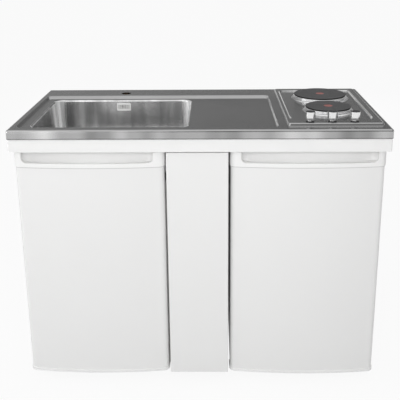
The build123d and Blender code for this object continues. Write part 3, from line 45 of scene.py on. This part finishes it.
# Finishes: roughness at both ends of a texture, as shares of the middle one or steps from it,
# and the shade of darker patches
GRAIN_SHARES = (0.8, 1.3)
WIPE_STEPS = (0.0, 0.05)
PAINT_STEPS = (-0.03, 0.05)
PLASTIC_STEPS = (-0.05, 0.08)
STEEL_PATCH = 0.93
PLASTIC_PATCH = 0.95

# Worktop: shades of the sheet and of the painted reflection bands on its front face, the painted
# shadow on the hem below them, and the painted highlight in the crease at the field's right end
SHEET_RELIEF = 0.012
SHEET_ROUGHNESS = (0.15, 0.27)
WORKTOP_SHADES = (0.46, 0.5)
EDGE_FACE = 0.0015
EDGE_ROLL = 0.012
EDGE_REFLECTION_BANDS = 5.0
EDGE_REFLECTION_SHADES = (0.14, 0.74)
HEM_SHADOW_HEIGHT = 0.0028
HEM_SHADOW_SHARE = 0.5
CREASE_X = 0.248
CREASE_HALF = 0.0024
CREASE_HIGHLIGHT = 0.45
SUNKEN_BY = 0.0003

# Hob: shades of the flat, painted highlight on the raised bead and bosses, where it sets in from the left
HOB_SHADES = (0.5, 0.54)
BEAD_RISE = 0.004
BEAD_FOOT = 0.0004
BEAD_HIGHLIGHT_SHADES = (0.9, 0.99)
BEAD_ROUGHNESS = (0.3, 0.42)
NO_HIGHLIGHT_STRIP = 0.065
HIGHLIGHT_FADE_IN = 0.08

# Bowl: shades of its floor, the streaks on its walls and the painted highlight on the corners between them
BOWL_RELIEF = 0.003
BOWL_ROUGHNESS = (0.09, 0.15)
BOWL_SHADES = (0.74, 0.8)
BOWL_WALL = 0.026
STREAKS = 24.0
STREAK_SHADES = (0.58, 1.0)
CORNER_WIDTH = 0.034
CORNER_FADE = 0.008
CORNER_HIGHLIGHT_SHADES = (0.93, 0.99)
CORNER_ROUGHNESS = (0.36, 0.46)

# Hotplates: iron with turned grooves, a red centre spot and a painted black shadow round the rim
IRON = (0.09, 0.09, 0.092)
IRON_ROUGHNESS = (0.42, 0.58)
GROOVE_PITCH = 0.0028
SPOT_RADIUS = 0.0145
SPOT_RED = (0.46, 0.18, 0.165)
PLATE_RIM = 0.0016
RIM_SHADOW_BLACK = (0.015, 0.015, 0.015)

# Knobs: bright metal with a thin dark face on top and a dark skirt below
KNOB_NODES = ("rear_plate_knob", "front_plate_knob", "timer_knob")
KNOB_BRIGHT = (0.82, 0.82, 0.82)
KNOB_DARK = (0.022, 0.022, 0.024)
KNOB_FACE = 0.0004
KNOB_SKIRT = 0.0035

# Doors: paint, and the height and grey of the painted shadow along the seam under the top cap
DOOR_WHITE = (0.825, 0.825, 0.82)
DOOR_ROUGHNESS = 0.34
SEAM_SHADOW_HEIGHT = 0.003
SEAM_SHADOW_GREY = (0.6, 0.6, 0.6)

# Studio: the floor, and the brightness of the room round it
FLOOR_SIZE = 60.0
FLOOR_GREY = (0.62, 0.62, 0.62)
FLOOR_GLOW = 0.92
FRONT_WALL = 0.24
REAR_WALL = (0.26, 0.16)
CEILING = 0.9
HORIZON = 1.0

# Where one part of the room passes into the next, as coordinates of the direction of view
LEFT_TO_RIGHT = (-0.35, 0.35)
FRONT_TO_REAR = (-0.6, 0.7)
WALL_TO_CEILING = (0.45, 0.85)
HORIZON_TO_WALL = (0.03, 0.165)
RISING = (0.0, 1.0)
FALLING = (1.0, 0.0)

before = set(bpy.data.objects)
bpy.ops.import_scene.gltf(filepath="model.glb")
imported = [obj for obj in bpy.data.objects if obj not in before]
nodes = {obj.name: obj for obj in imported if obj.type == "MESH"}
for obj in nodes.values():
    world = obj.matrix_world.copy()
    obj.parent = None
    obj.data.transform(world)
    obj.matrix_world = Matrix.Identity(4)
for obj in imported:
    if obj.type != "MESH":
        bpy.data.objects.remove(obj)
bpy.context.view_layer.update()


# Node helpers: the owner is a material or the world

def add(owner, kind, **inputs):
    """A new node with some inputs set, each by its name with underscores for spaces."""
    node = owner.node_tree.nodes.new(kind)
    for socket, value in inputs.items():
        node.inputs[socket.replace("_", " ")].default_value = value
    return node


def connect(owner, value, node_input):
    """Wires a socket to an input, or sets the input to a plain value."""
    if isinstance(value, bpy.types.NodeSocket):
        owner.node_tree.links.new(value, node_input)
    else:
        node_input.default_value = value


def math_node(owner, operation, first, second=None):
    """One arithmetic step on sockets or numbers."""
    node = add(owner, "ShaderNodeMath")
    node.operation = operation
    connect(owner, first, node.inputs[0])
    if second is not None:
        connect(owner, second, node.inputs[1])
    return node.outputs["Value"]


def below(owner, value, limit):
    """1 where a value is under a limit, 0 elsewhere."""
    return math_node(owner, "LESS_THAN", value, limit)


def above(owner, value, limit):
    """1 where a value is over a limit, 0 elsewhere."""
    return math_node(owner, "GREATER_THAN", value, limit)


def product(owner, first, *others):
    """Several values multiplied with each other."""
    for other in others:
        first = math_node(owner, "MULTIPLY", first, other)
    return first


def map_range(owner, value, source, target, curve="SMOOTHSTEP"):
    """A value brought from one span to another and held at its ends."""
    ends = {"From_Min": source[0], "From_Max": source[1], "To_Min": target[0], "To_Max": target[1]}
    node = add(owner, "ShaderNodeMapRange", **ends)
    node.interpolation_type = curve
    connect(owner, value, node.inputs["Value"])
    return node.outputs["Result"]


def step_up(owner, value, place, fade):
    """A soft step from 0 to 1 where a value passes a place."""
    return map_range(owner, value, (place - fade / 2, place + fade / 2), RISING)


def mix_values(owner, share, first, second):
    """A value that goes from the first to the second as share goes from 0 to 1."""
    node = add(owner, "ShaderNodeMix")
    connect(owner, share, node.inputs["Factor"])
    connect(owner, first, node.inputs["A"])
    connect(owner, second, node.inputs["B"])
    return node.outputs["Result"]


# Material helpers

def shader_of(material):
    """The material's Principled shader."""
    return material.node_tree.nodes["Principled BSDF"]


def drive(material, socket, value):
    """Lets a value set one of the shader's sockets."""
    connect(material, value, shader_of(material).inputs[socket])


def new_material(name, colour, roughness, metallic=0.0, **sockets):
    """A Principled material; further sockets are given by name with underscores for spaces."""
    material = bpy.data.materials.new(name)
    material.use_nodes = True
    drive(material, "Base Color", (*colour, 1.0))
    drive(material, "Roughness", roughness)
    drive(material, "Metallic", metallic)
    for socket, value in sockets.items():
        drive(material, socket.replace("_", " "), value)
    return material


def position(material, stretch=EVEN, offset=ORIGIN):
    """Place on the object in the unit's frame, stretched and moved."""
    place = add(material, "ShaderNodeTexCoord")
    mapping = add(material, "ShaderNodeMapping", Location=offset, Scale=stretch)
    connect(material, place.outputs["Object"], mapping.inputs["Vector"])
    return mapping.outputs["Vector"]


def coordinates(material, offset=ORIGIN):
    """The x, y and z of a place on the object."""
    split = add(material, "ShaderNodeSeparateXYZ")
    connect(material, position(material, offset=offset), split.inputs["Vector"])
    return split.outputs["X"], split.outputs["Y"], split.outputs["Z"]


def distance_from(material, centre):
    """Distance from the upright line through a centre."""
    flat = position(material, IN_PLAN, (-centre.x, -centre.y, 0.0))
    length = add(material, "ShaderNodeVectorMath")
    length.operation = "LENGTH"
    connect(material, flat, length.inputs[0])
    return length.outputs["Value"]


def noise(material, scale, stretch=EVEN, detail=4.0):
    """Cloudy noise between 0 and 1, scale in cycles per metre."""
    texture = add(material, "ShaderNodeTexNoise", Scale=scale, Detail=detail)
    connect(material, position(material, stretch), texture.inputs["Vector"])
    return texture.outputs["Fac"]


def cells(material, scale, stretch=EVEN):
    """Small cells: distance from the middle of each, scale in cells per metre."""
    texture = add(material, "ShaderNodeTexVoronoi", Scale=scale)
    connect(material, position(material, stretch), texture.inputs["Vector"])
    return texture.outputs["Distance"]


def spread(material, value, span):
    """A noise brought to a span of values."""
    return map_range(material, value, NOISE_BAND, span, "LINEAR")


def vary_roughness(material, value, span):
    """Roughness that follows a noise."""
    drive(material, "Roughness", spread(material, value, span))


def mix_colours(material, share, first, second):
    """A colour that goes from the first, a colour or a socket, to the second as share goes from 0 to 1."""
    mix = add(material, "ShaderNodeMix")
    mix.data_type = "RGBA"
    start, end = [socket for socket in mix.inputs if socket.type == "RGBA"]
    if isinstance(first, tuple):
        first = (*first, 1.0)
    connect(material, first, start)
    connect(material, (*second, 1.0), end)
    connect(material, share, mix.inputs["Factor"])
    return [socket for socket in mix.outputs if socket.type == "RGBA"][0]


def vary_colour(material, share, first, second):
    """Base colour that goes from the first to the second as share goes from 0 to 1."""
    drive(material, "Base Color", mix_colours(material, share, first, second))


def add_bump(material, value, strength, depth=RELIEF):
    """Fine relief from a texture."""
    bump = add(material, "ShaderNodeBump", Strength=strength, Distance=depth)
    connect(material, value, bump.inputs["Height"])
    drive(material, "Normal", bump.outputs["Normal"])


def scaled(values, share):
    """Values of a colour or span, each multiplied by a share."""
    return tuple(share * value for value in values)


def around(middle, steps):
    """A span of values round a middle one."""
    return middle + steps[0], middle + steps[1]


# Metals

def grained_metal(name, colour, roughness, relief, stretch=SHEET_GRAIN):
    """Metal with fine grain in one direction; gives the material and its grain."""
    material = new_material(name, colour, roughness, metallic=1.0)
    grain = noise(material, 1.0, stretch, FINE_DETAIL)
    add_bump(material, grain, relief)
    return material, grain


def brushed_steel(name, colour, roughness, relief, stretch=SHEET_GRAIN):
    """Satin metal with fine grain and faint cloudiness."""
    material, grain = grained_metal(name, colour, roughness, relief, stretch)
    vary_roughness(material, grain, scaled(GRAIN_SHARES, roughness))
    vary_colour(material, noise(material, CLOUDS), scaled(colour, STEEL_PATCH), colour)
    return material


def polished_metal(name, colour, roughness):
    """Bright metal with faint wipe marks."""
    material = new_material(name, colour, roughness, metallic=1.0)
    vary_roughness(material, noise(material, scale=90.0), around(roughness, WIPE_STEPS))
    return material


def worktop_steel():
    """Satin sheet; its front edge has painted reflection bands over a painted shadow on the folded hem."""
    low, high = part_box("worktop")
    material, grain = grained_metal("worktop_steel", (0.49, 0.49, 0.49), roughness=0.2, relief=SHEET_RELIEF)
    vary_roughness(material, grain, SHEET_ROUGHNESS)
    x, y, z = coordinates(material)
    flat = spread(material, noise(material, CLOUDS), WORKTOP_SHADES)
    # Painted reflection: soft light and dark bands on the front face stand in for the room mirrored in it.
    reflection_bands = spread(material, noise(material, EDGE_REFLECTION_BANDS, ALONG_X, FINE_DETAIL), EDGE_REFLECTION_SHADES)
    grey = mix_values(material, below(material, y, low.y + EDGE_FACE), flat, reflection_bands)
    # Painted shadow: the strip along the bottom edge is darkened as if shaded under the rolled hem.
    hem_shadow = math_node(material, "MULTIPLY", grey, HEM_SHADOW_SHARE)
    grey = mix_values(material, below(material, z, low.z + HEM_SHADOW_HEIGHT), grey, hem_shadow)
    # Painted highlight: the crease at the field's right end is brightened as if it caught the light.
    from_crease = math_node(material, "SUBTRACT", x, CREASE_X)
    on_crease = below(material, math_node(material, "ABSOLUTE", from_crease), CREASE_HALF)
    sunken = below(material, z, high.z - SUNKEN_BY)
    inside = above(material, y, low.y + EDGE_ROLL)
    crease_highlight = product(material, on_crease, sunken, inside, CREASE_HIGHLIGHT)
    drive(material, "Base Color", math_node(material, "ADD", grey, crease_highlight))
    return material


def hob_steel():
    """Satin sheet with a painted highlight on its bead and bosses, which are also rougher than the flat."""
    low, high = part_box("hob_panel")
    material, grain = grained_metal("hob_steel", (0.53, 0.53, 0.53), roughness=0.2, relief=SHEET_RELIEF)
    x, _, z = coordinates(material)
    high_up = above(material, z, high.z - BEAD_RISE + BEAD_FOOT)
    right_of = step_up(material, x, low.x + NO_HIGHLIGHT_STRIP, HIGHLIGHT_FADE_IN)
    raised = product(material, high_up, right_of)
    flat = spread(material, noise(material, CLOUDS), HOB_SHADES)
    # Painted highlight: the raised bead and bosses get lighter, mottled steel as if they caught the light.
    bead_highlight = spread(material, noise(material, HIGHLIGHT_MOTTLE), BEAD_HIGHLIGHT_SHADES)
    drive(material, "Base Color", mix_values(material, raised, flat, bead_highlight))
    smooth = spread(material, grain, SHEET_ROUGHNESS)
    rough = spread(material, grain, BEAD_ROUGHNESS)
    drive(material, "Roughness", mix_values(material, raised, smooth, rough))
    return material


def bowl_steel():
    """Drawn sheet with upright streaks on its walls and a painted highlight on its rougher corners."""
    low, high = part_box("sink_bowl")
    half = (high - low) / 2
    material, grain = grained_metal("bowl_steel", (0.8, 0.8, 0.8), roughness=0.11, relief=BOWL_RELIEF)
    x, y, z = coordinates(material, offset=-(low + high) / 2)
    at_end = step_up(material, math_node(material, "ABSOLUTE", x), half.x - CORNER_WIDTH, CORNER_FADE)
    at_side = step_up(material, math_node(material, "ABSOLUTE", y), half.y - CORNER_WIDTH, CORNER_FADE)
    on_wall = step_up(material, z, BOWL_WALL - half.z, BOWL_WALL)
    corner = product(material, at_end, at_side, on_wall)
    flat = spread(material, noise(material, CLOUDS), BOWL_SHADES)
    streaks = spread(material, noise(material, STREAKS, IN_PLAN, detail=3.0), STREAK_SHADES)
    # Painted highlight: the corners between the walls are lightened as if they mirrored the light.
    bright = spread(material, noise(material, HIGHLIGHT_MOTTLE), CORNER_HIGHLIGHT_SHADES)
    grey = mix_values(material, on_wall, flat, streaks)
    drive(material, "Base Color", mix_values(material, corner, grey, bright))
    smooth = spread(material, grain, BOWL_ROUGHNESS)
    soft = spread(material, grain, CORNER_ROUGHNESS)
    drive(material, "Roughness", mix_values(material, corner, smooth, soft))
    return material


def cast_plate(node):
    """Sealed cast plate: turned rings on top, a red centre spot and a painted black shadow round the rim."""
    low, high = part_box(node)
    material = new_material(node + "_iron", IRON, roughness=0.5, metallic=0.35)
    distance = distance_from(material, (low + high) / 2)
    turns = math_node(material, "MULTIPLY", distance, math.tau / GROOVE_PITCH)
    rings = math_node(material, "SINE", turns)
    speckle = noise(material, scale=900.0)
    add_bump(material, math_node(material, "ADD", rings, speckle), strength=0.35, depth=0.0003)
    vary_roughness(material, speckle, IRON_ROUGHNESS)
    top = mix_colours(material, below(material, distance, SPOT_RADIUS), IRON, SPOT_RED)
    # Painted shadow: a thin black ring at the plate's edge stands in for its shaded side wall.
    rim_shadow = above(material, distance, (high.x - low.x) / 2 - PLATE_RIM)
    vary_colour(material, rim_shadow, top, RIM_SHADOW_BLACK)
    return material


def knob_metal():
    """Bright turned metal with a dark top face and skirt, at the height of the hob's knobs."""
    low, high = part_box(KNOB_NODES[0])
    material = polished_metal("knob_metal", KNOB_BRIGHT, roughness=0.14)
    _, _, z = coordinates(material)
    on_face = above(material, z, high.z - KNOB_FACE)
    on_skirt = below(material, z, low.z + KNOB_SKIRT)
    dark = math_node(material, "MAXIMUM", on_face, on_skirt)
    vary_colour(material, dark, KNOB_BRIGHT, KNOB_DARK)
    drive(material, "Metallic", math_node(material, "SUBTRACT", 1.0, dark))
    return material


# Paints, plastics, boards and glass

def enamel(name, colour, roughness):
    """Sprayed paint: slight orange peel under a clear gloss."""
    material = new_material(name, colour, roughness, Coat_Weight=0.25, Coat_Roughness=0.12)
    peel = noise(material, scale=420.0, detail=FINE_DETAIL)
    vary_roughness(material, peel, around(roughness, PAINT_STEPS))
    add_bump(material, peel, strength=0.05)
    return material


def door_enamel():
    """Sprayed paint with a painted shadow along the seam under the doors' top caps."""
    _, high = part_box("cupboard_door_skin")
    material = enamel("door_enamel", DOOR_WHITE, DOOR_ROUGHNESS)
    _, _, z = coordinates(material)
    # Painted shadow: the skin's top strip is greyed as if shaded under the overhanging cap.
    vary_colour(material, above(material, z, high.z - SEAM_SHADOW_HEIGHT), DOOR_WHITE, SEAM_SHADOW_GREY)
    return material


def moulded_plastic(name, colour, roughness, grain=1500.0, strength=0.08):
    """Moulded plastic with a fine even grain."""
    material = new_material(name, colour, roughness)
    texture = noise(material, grain, detail=FINE_DETAIL)
    vary_colour(material, noise(material, scale=12.0), scaled(colour, PLASTIC_PATCH), colour)
    vary_roughness(material, texture, around(roughness, PLASTIC_STEPS))
    add_bump(material, texture, strength)
    return material


def milky_plastic():
    """See-through moulded plastic that lets most of the light pass."""
    material = new_material("milky_plastic", (0.72, 0.8, 0.85), roughness=0.18, Alpha=0.36)
    vary_roughness(material, noise(material, scale=300.0), span=(0.14, 0.24))
    add_bump(material, noise(material, WAVES), strength=0.03, depth=0.0005)
    return material


def clear_glass():
    """Clear sheet with slight waviness."""
    tint = (0.86, 0.95, 0.92)
    material = new_material("shelf_glass", tint, roughness=0.02, Transmission_Weight=1.0, IOR=1.5)
    add_bump(material, noise(material, WAVES), strength=0.02, depth=0.0005)
    return material


def chipboard():
    """Pressed wood flakes."""
    material = new_material("chipboard", (0.5, 0.36, 0.21), roughness=0.8)
    flakes = cells(material, scale=260.0, stretch=(1.0, 1.0, 2.5))
    vary_colour(material, flakes, (0.56, 0.42, 0.26), (0.33, 0.22, 0.12))
    add_bump(material, flakes, strength=0.25, depth=0.0006)
    return material


def melamine():
    """White-faced board with a faint pressed texture."""
    material = new_material("melamine", (0.8, 0.8, 0.78), roughness=0.45)
    texture = noise(material, scale=650.0, stretch=(1.0, 1.0, 0.25))
    patches = noise(material, scale=25.0, stretch=(1.0, 1.0, 0.1))
    vary_colour(material, patches, (0.76, 0.76, 0.74), (0.82, 0.82, 0.8))
    vary_roughness(material, texture, span=(0.4, 0.52))
    add_bump(material, texture, strength=0.1, depth=0.0003)
    return material


def foam():
    """Sprayed insulation with small cells."""
    material = new_material("foam", (0.72, 0.6, 0.34), roughness=0.9)
    bubbles = cells(material, scale=400.0)
    vary_colour(material, bubbles, (0.74, 0.63, 0.37), (0.6, 0.48, 0.25))
    add_bump(material, bubbles, strength=0.3, depth=0.0006)
    return material


# Which node has which material

def paint(material, *names):
    """Gives nodes one material in place of what they had."""
    for name in names:
        slots = nodes[name].data.materials
        slots.clear()
        slots.append(material)


def paint_top():
    """Worktop, sink and hob with what carries them."""
    satin = brushed_steel("satin_steel", (0.8, 0.8, 0.805), roughness=0.11, relief=BOWL_RELIEF)
    bright = polished_metal("bright_steel", (0.9, 0.9, 0.905), roughness=0.07)
    grille = moulded_plastic("grille_plastic", (0.86, 0.86, 0.85), roughness=0.35)
    apron = moulded_plastic("apron_white", (0.87, 0.87, 0.865), roughness=0.4, grain=700.0, strength=0.04)
    paint(worktop_steel(), "worktop")
    paint(hob_steel(), "hob_panel")
    paint(bowl_steel(), "sink_bowl")
    paint(satin, "sink_waste", "strainer_basket")
    paint(bright, "front_hotplate_ring", "rear_hotplate_ring")
    paint(grille, "overflow_grille")
    paint(apron, "apron_front", "apron_sides", "apron_rear")
    paint(chipboard(), "support_board", "worktop_bearer")
    paint(knob_metal(), *KNOB_NODES)
    for name in ("front_hotplate", "rear_hotplate"):
        paint(cast_plate(name), name)


def paint_fronts():
    """Both doors' outer parts and the painted cabinet sheets."""
    white = enamel("white_enamel", DOOR_WHITE, DOOR_ROUGHNESS)
    cap = moulded_plastic("cap_plastic", (0.89, 0.89, 0.885), roughness=0.42, strength=0.04)
    paint(door_enamel(), "cupboard_door_skin", "fridge_door_skin")
    paint(white, "filler_panel", "fridge_cabinet")
    for door in ("cupboard_door", "fridge_door"):
        paint(cap, door + "_top_cap", door + "_bottom_cap")


def paint_cupboard():
    """Boards, fittings, hob switches and feet, and what has the pipes' plastic."""
    zinc = (0.5, 0.5, 0.5)
    plated = brushed_steel("plated_steel", zinc, roughness=0.38, relief=0.04, stretch=PLATING_GRAIN)
    dark = moulded_plastic("dark_plastic", (0.025, 0.025, 0.027), roughness=0.5)
    pipe = moulded_plastic("pipe_plastic", (0.7, 0.7, 0.68), roughness=0.4)
    board = melamine()
    paint(board, "cupboard_sides", "cupboard_bottom", "cupboard_back")
    paint(board, "cupboard_shelf", "cupboard_stile", "cupboard_door_inner")
    paint(plated, "hotplate_clamps", "hob_tray", "top_hinges", "bottom_hinges")
    paint(plated, "rear_plate_shaft", "front_plate_shaft", "timer_shaft")
    paint(dark, "hob_switches", "feet")
    paint(pipe, "overflow_pipe", "trap_body", "trap_cup", "waste_pipe", "thermostat_dial")


def paint_fridge():
    """Inside of the fridge and its door, and the machine at the rear."""
    liner = moulded_plastic("liner_plastic", (0.82, 0.83, 0.83), roughness=0.3, grain=900.0, strength=0.03)
    black = enamel("black_enamel", (0.018, 0.018, 0.019), roughness=0.4)
    coating = enamel("evaporator_coating", (0.74, 0.77, 0.79), roughness=0.45)
    seal = moulded_plastic("seal_rubber", (0.55, 0.55, 0.54), roughness=0.65)
    paint(liner, "fridge_liner", "fridge_door_liner", "thermostat")
    paint(foam(), "fridge_insulation", "fridge_door_insulation")
    paint(clear_glass(), "fridge_shelves")
    paint(milky_plastic(), "crisper", "fridge_door_racks")
    paint(coating, "ice_box")
    paint(seal, "fridge_door_gasket")
    paint(black, "compressor", "condenser")


# Studio

def floor_white():
    """Grey floor that the camera, mirrors and glass see as nearly white."""
    material = new_material("floor_white", FLOOR_GREY, roughness=0.9)
    white = add(material, "ShaderNodeEmission", Color=(1.0, 1.0, 1.0, 1.0), Strength=1.0)
    path = add(material, "ShaderNodeLightPath")
    seen = path.outputs["Is Camera Ray"]
    for kind in ("Is Glossy Ray", "Is Transmission Ray"):
        seen = math_node(material, "MAXIMUM", seen, path.outputs[kind])
    mix = add(material, "ShaderNodeMixShader")
    connect(material, math_node(material, "MULTIPLY", seen, FLOOR_GLOW), mix.inputs["Fac"])
    connect(material, shader_of(material).outputs["BSDF"], mix.inputs[1])
    connect(material, white.outputs["Emission"], mix.inputs[2])
    surface = material.node_tree.nodes["Material Output"].inputs["Surface"]
    connect(material, mix.outputs["Shader"], surface)
    return material


def make_floor():
    """Pale floor that keeps the unit's shadow."""
    bpy.ops.mesh.primitive_plane_add(size=FLOOR_SIZE)
    floor = bpy.context.object
    floor.name = "floor"
    floor.data.materials.append(floor_white())


def make_world():
    """Grey studio room: a white horizon, a rear wall that darkens to the right and a bright ceiling."""
    world = bpy.data.worlds.new("studio")
    bpy.context.scene.world = world
    world.use_nodes = True
    place = add(world, "ShaderNodeTexCoord")
    split = add(world, "ShaderNodeSeparateXYZ")
    connect(world, place.outputs["Generated"], split.inputs["Vector"])
    rear = map_range(world, split.outputs["X"], LEFT_TO_RIGHT, REAR_WALL)
    ahead = map_range(world, split.outputs["Y"], FRONT_TO_REAR, FALLING)
    ceiling = map_range(world, split.outputs["Z"], WALL_TO_CEILING, RISING)
    horizon = map_range(world, split.outputs["Z"], HORIZON_TO_WALL, FALLING)
    room = mix_values(world, ahead, rear, FRONT_WALL)
    room = mix_values(world, ceiling, room, CEILING)
    room = mix_values(world, horizon, room, HORIZON)
    connect(world, room, world.node_tree.nodes["Background"].inputs["Color"])


def area_light(name, place, target, size, power, mirrored=True):
    """A square soft box that faces a point and is, or isn't, mirrored in metal."""
    data = bpy.data.lights.new(name, "AREA")
    data.size = size
    data.energy = power
    lamp = bpy.data.objects.new(name, data)
    lamp.visible_camera = False
    lamp.visible_glossy = mirrored
    lamp.location = place
    lamp.rotation_euler = (Vector(target) - Vector(place)).to_track_quat("-Z", "Y").to_euler()
    bpy.context.scene.collection.objects.link(lamp)


def make_lights():
    """Large key from the upper left, fills at the front and rear and a box at the left end."""
    area_light("key", place=(-1.5, -1.9, 1.8), target=(-0.2, -0.3, 0.6), size=2.8, power=14.0)
    area_light(
        "front_fill", place=(0.15, -2.4, 1.6), target=(0.05, -0.3, 0.85), size=1.2, power=22.0, mirrored=False
    )
    area_light(
        "rear_fill", place=(0.6, 4.2, 1.4), target=(0.0, 0.3, 0.5), size=1.2, power=22.0, mirrored=False
    )
    area_light("left_box", place=(-2.6, -0.5, 1.3), target=(-0.3, 0.0, 0.85), size=1.1, power=11.0)


def make_camera():
    """Camera at the photograph's angle."""
    data = bpy.data.cameras.new("camera")
    data.sensor_width = SENSOR_MM
    data.lens = SENSOR_MM * FOCAL_PIXELS / IMAGE_PIXELS
    data.shift_x = SHIFT_X
    data.shift_y = SHIFT_Y
    camera = bpy.data.objects.new("camera", data)
    low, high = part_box("worktop")
    rise = CAMERA_DISTANCE * math.tan(math.radians(CAMERA_ELEVATION))
    camera.location = (CAMERA_X, low.y - CAMERA_DISTANCE, high.z + rise)
    turn = Euler((math.radians(LEVEL - CAMERA_PITCH), 0.0, math.radians(CAMERA_YAW)), "XYZ")
    roll = Euler((0.0, 0.0, math.radians(CAMERA_ROLL)), "XYZ")
    camera.rotation_euler = (turn.to_matrix() @ roll.to_matrix()).to_euler()
    bpy.context.scene.collection.objects.link(camera)
    bpy.context.scene.camera = camera


bpy.context.scene.view_settings.view_transform = "Standard"
paint_top()
paint_fronts()
paint_cupboard()
paint_fridge()
make_floor()
make_world()
make_lights()
make_camera()
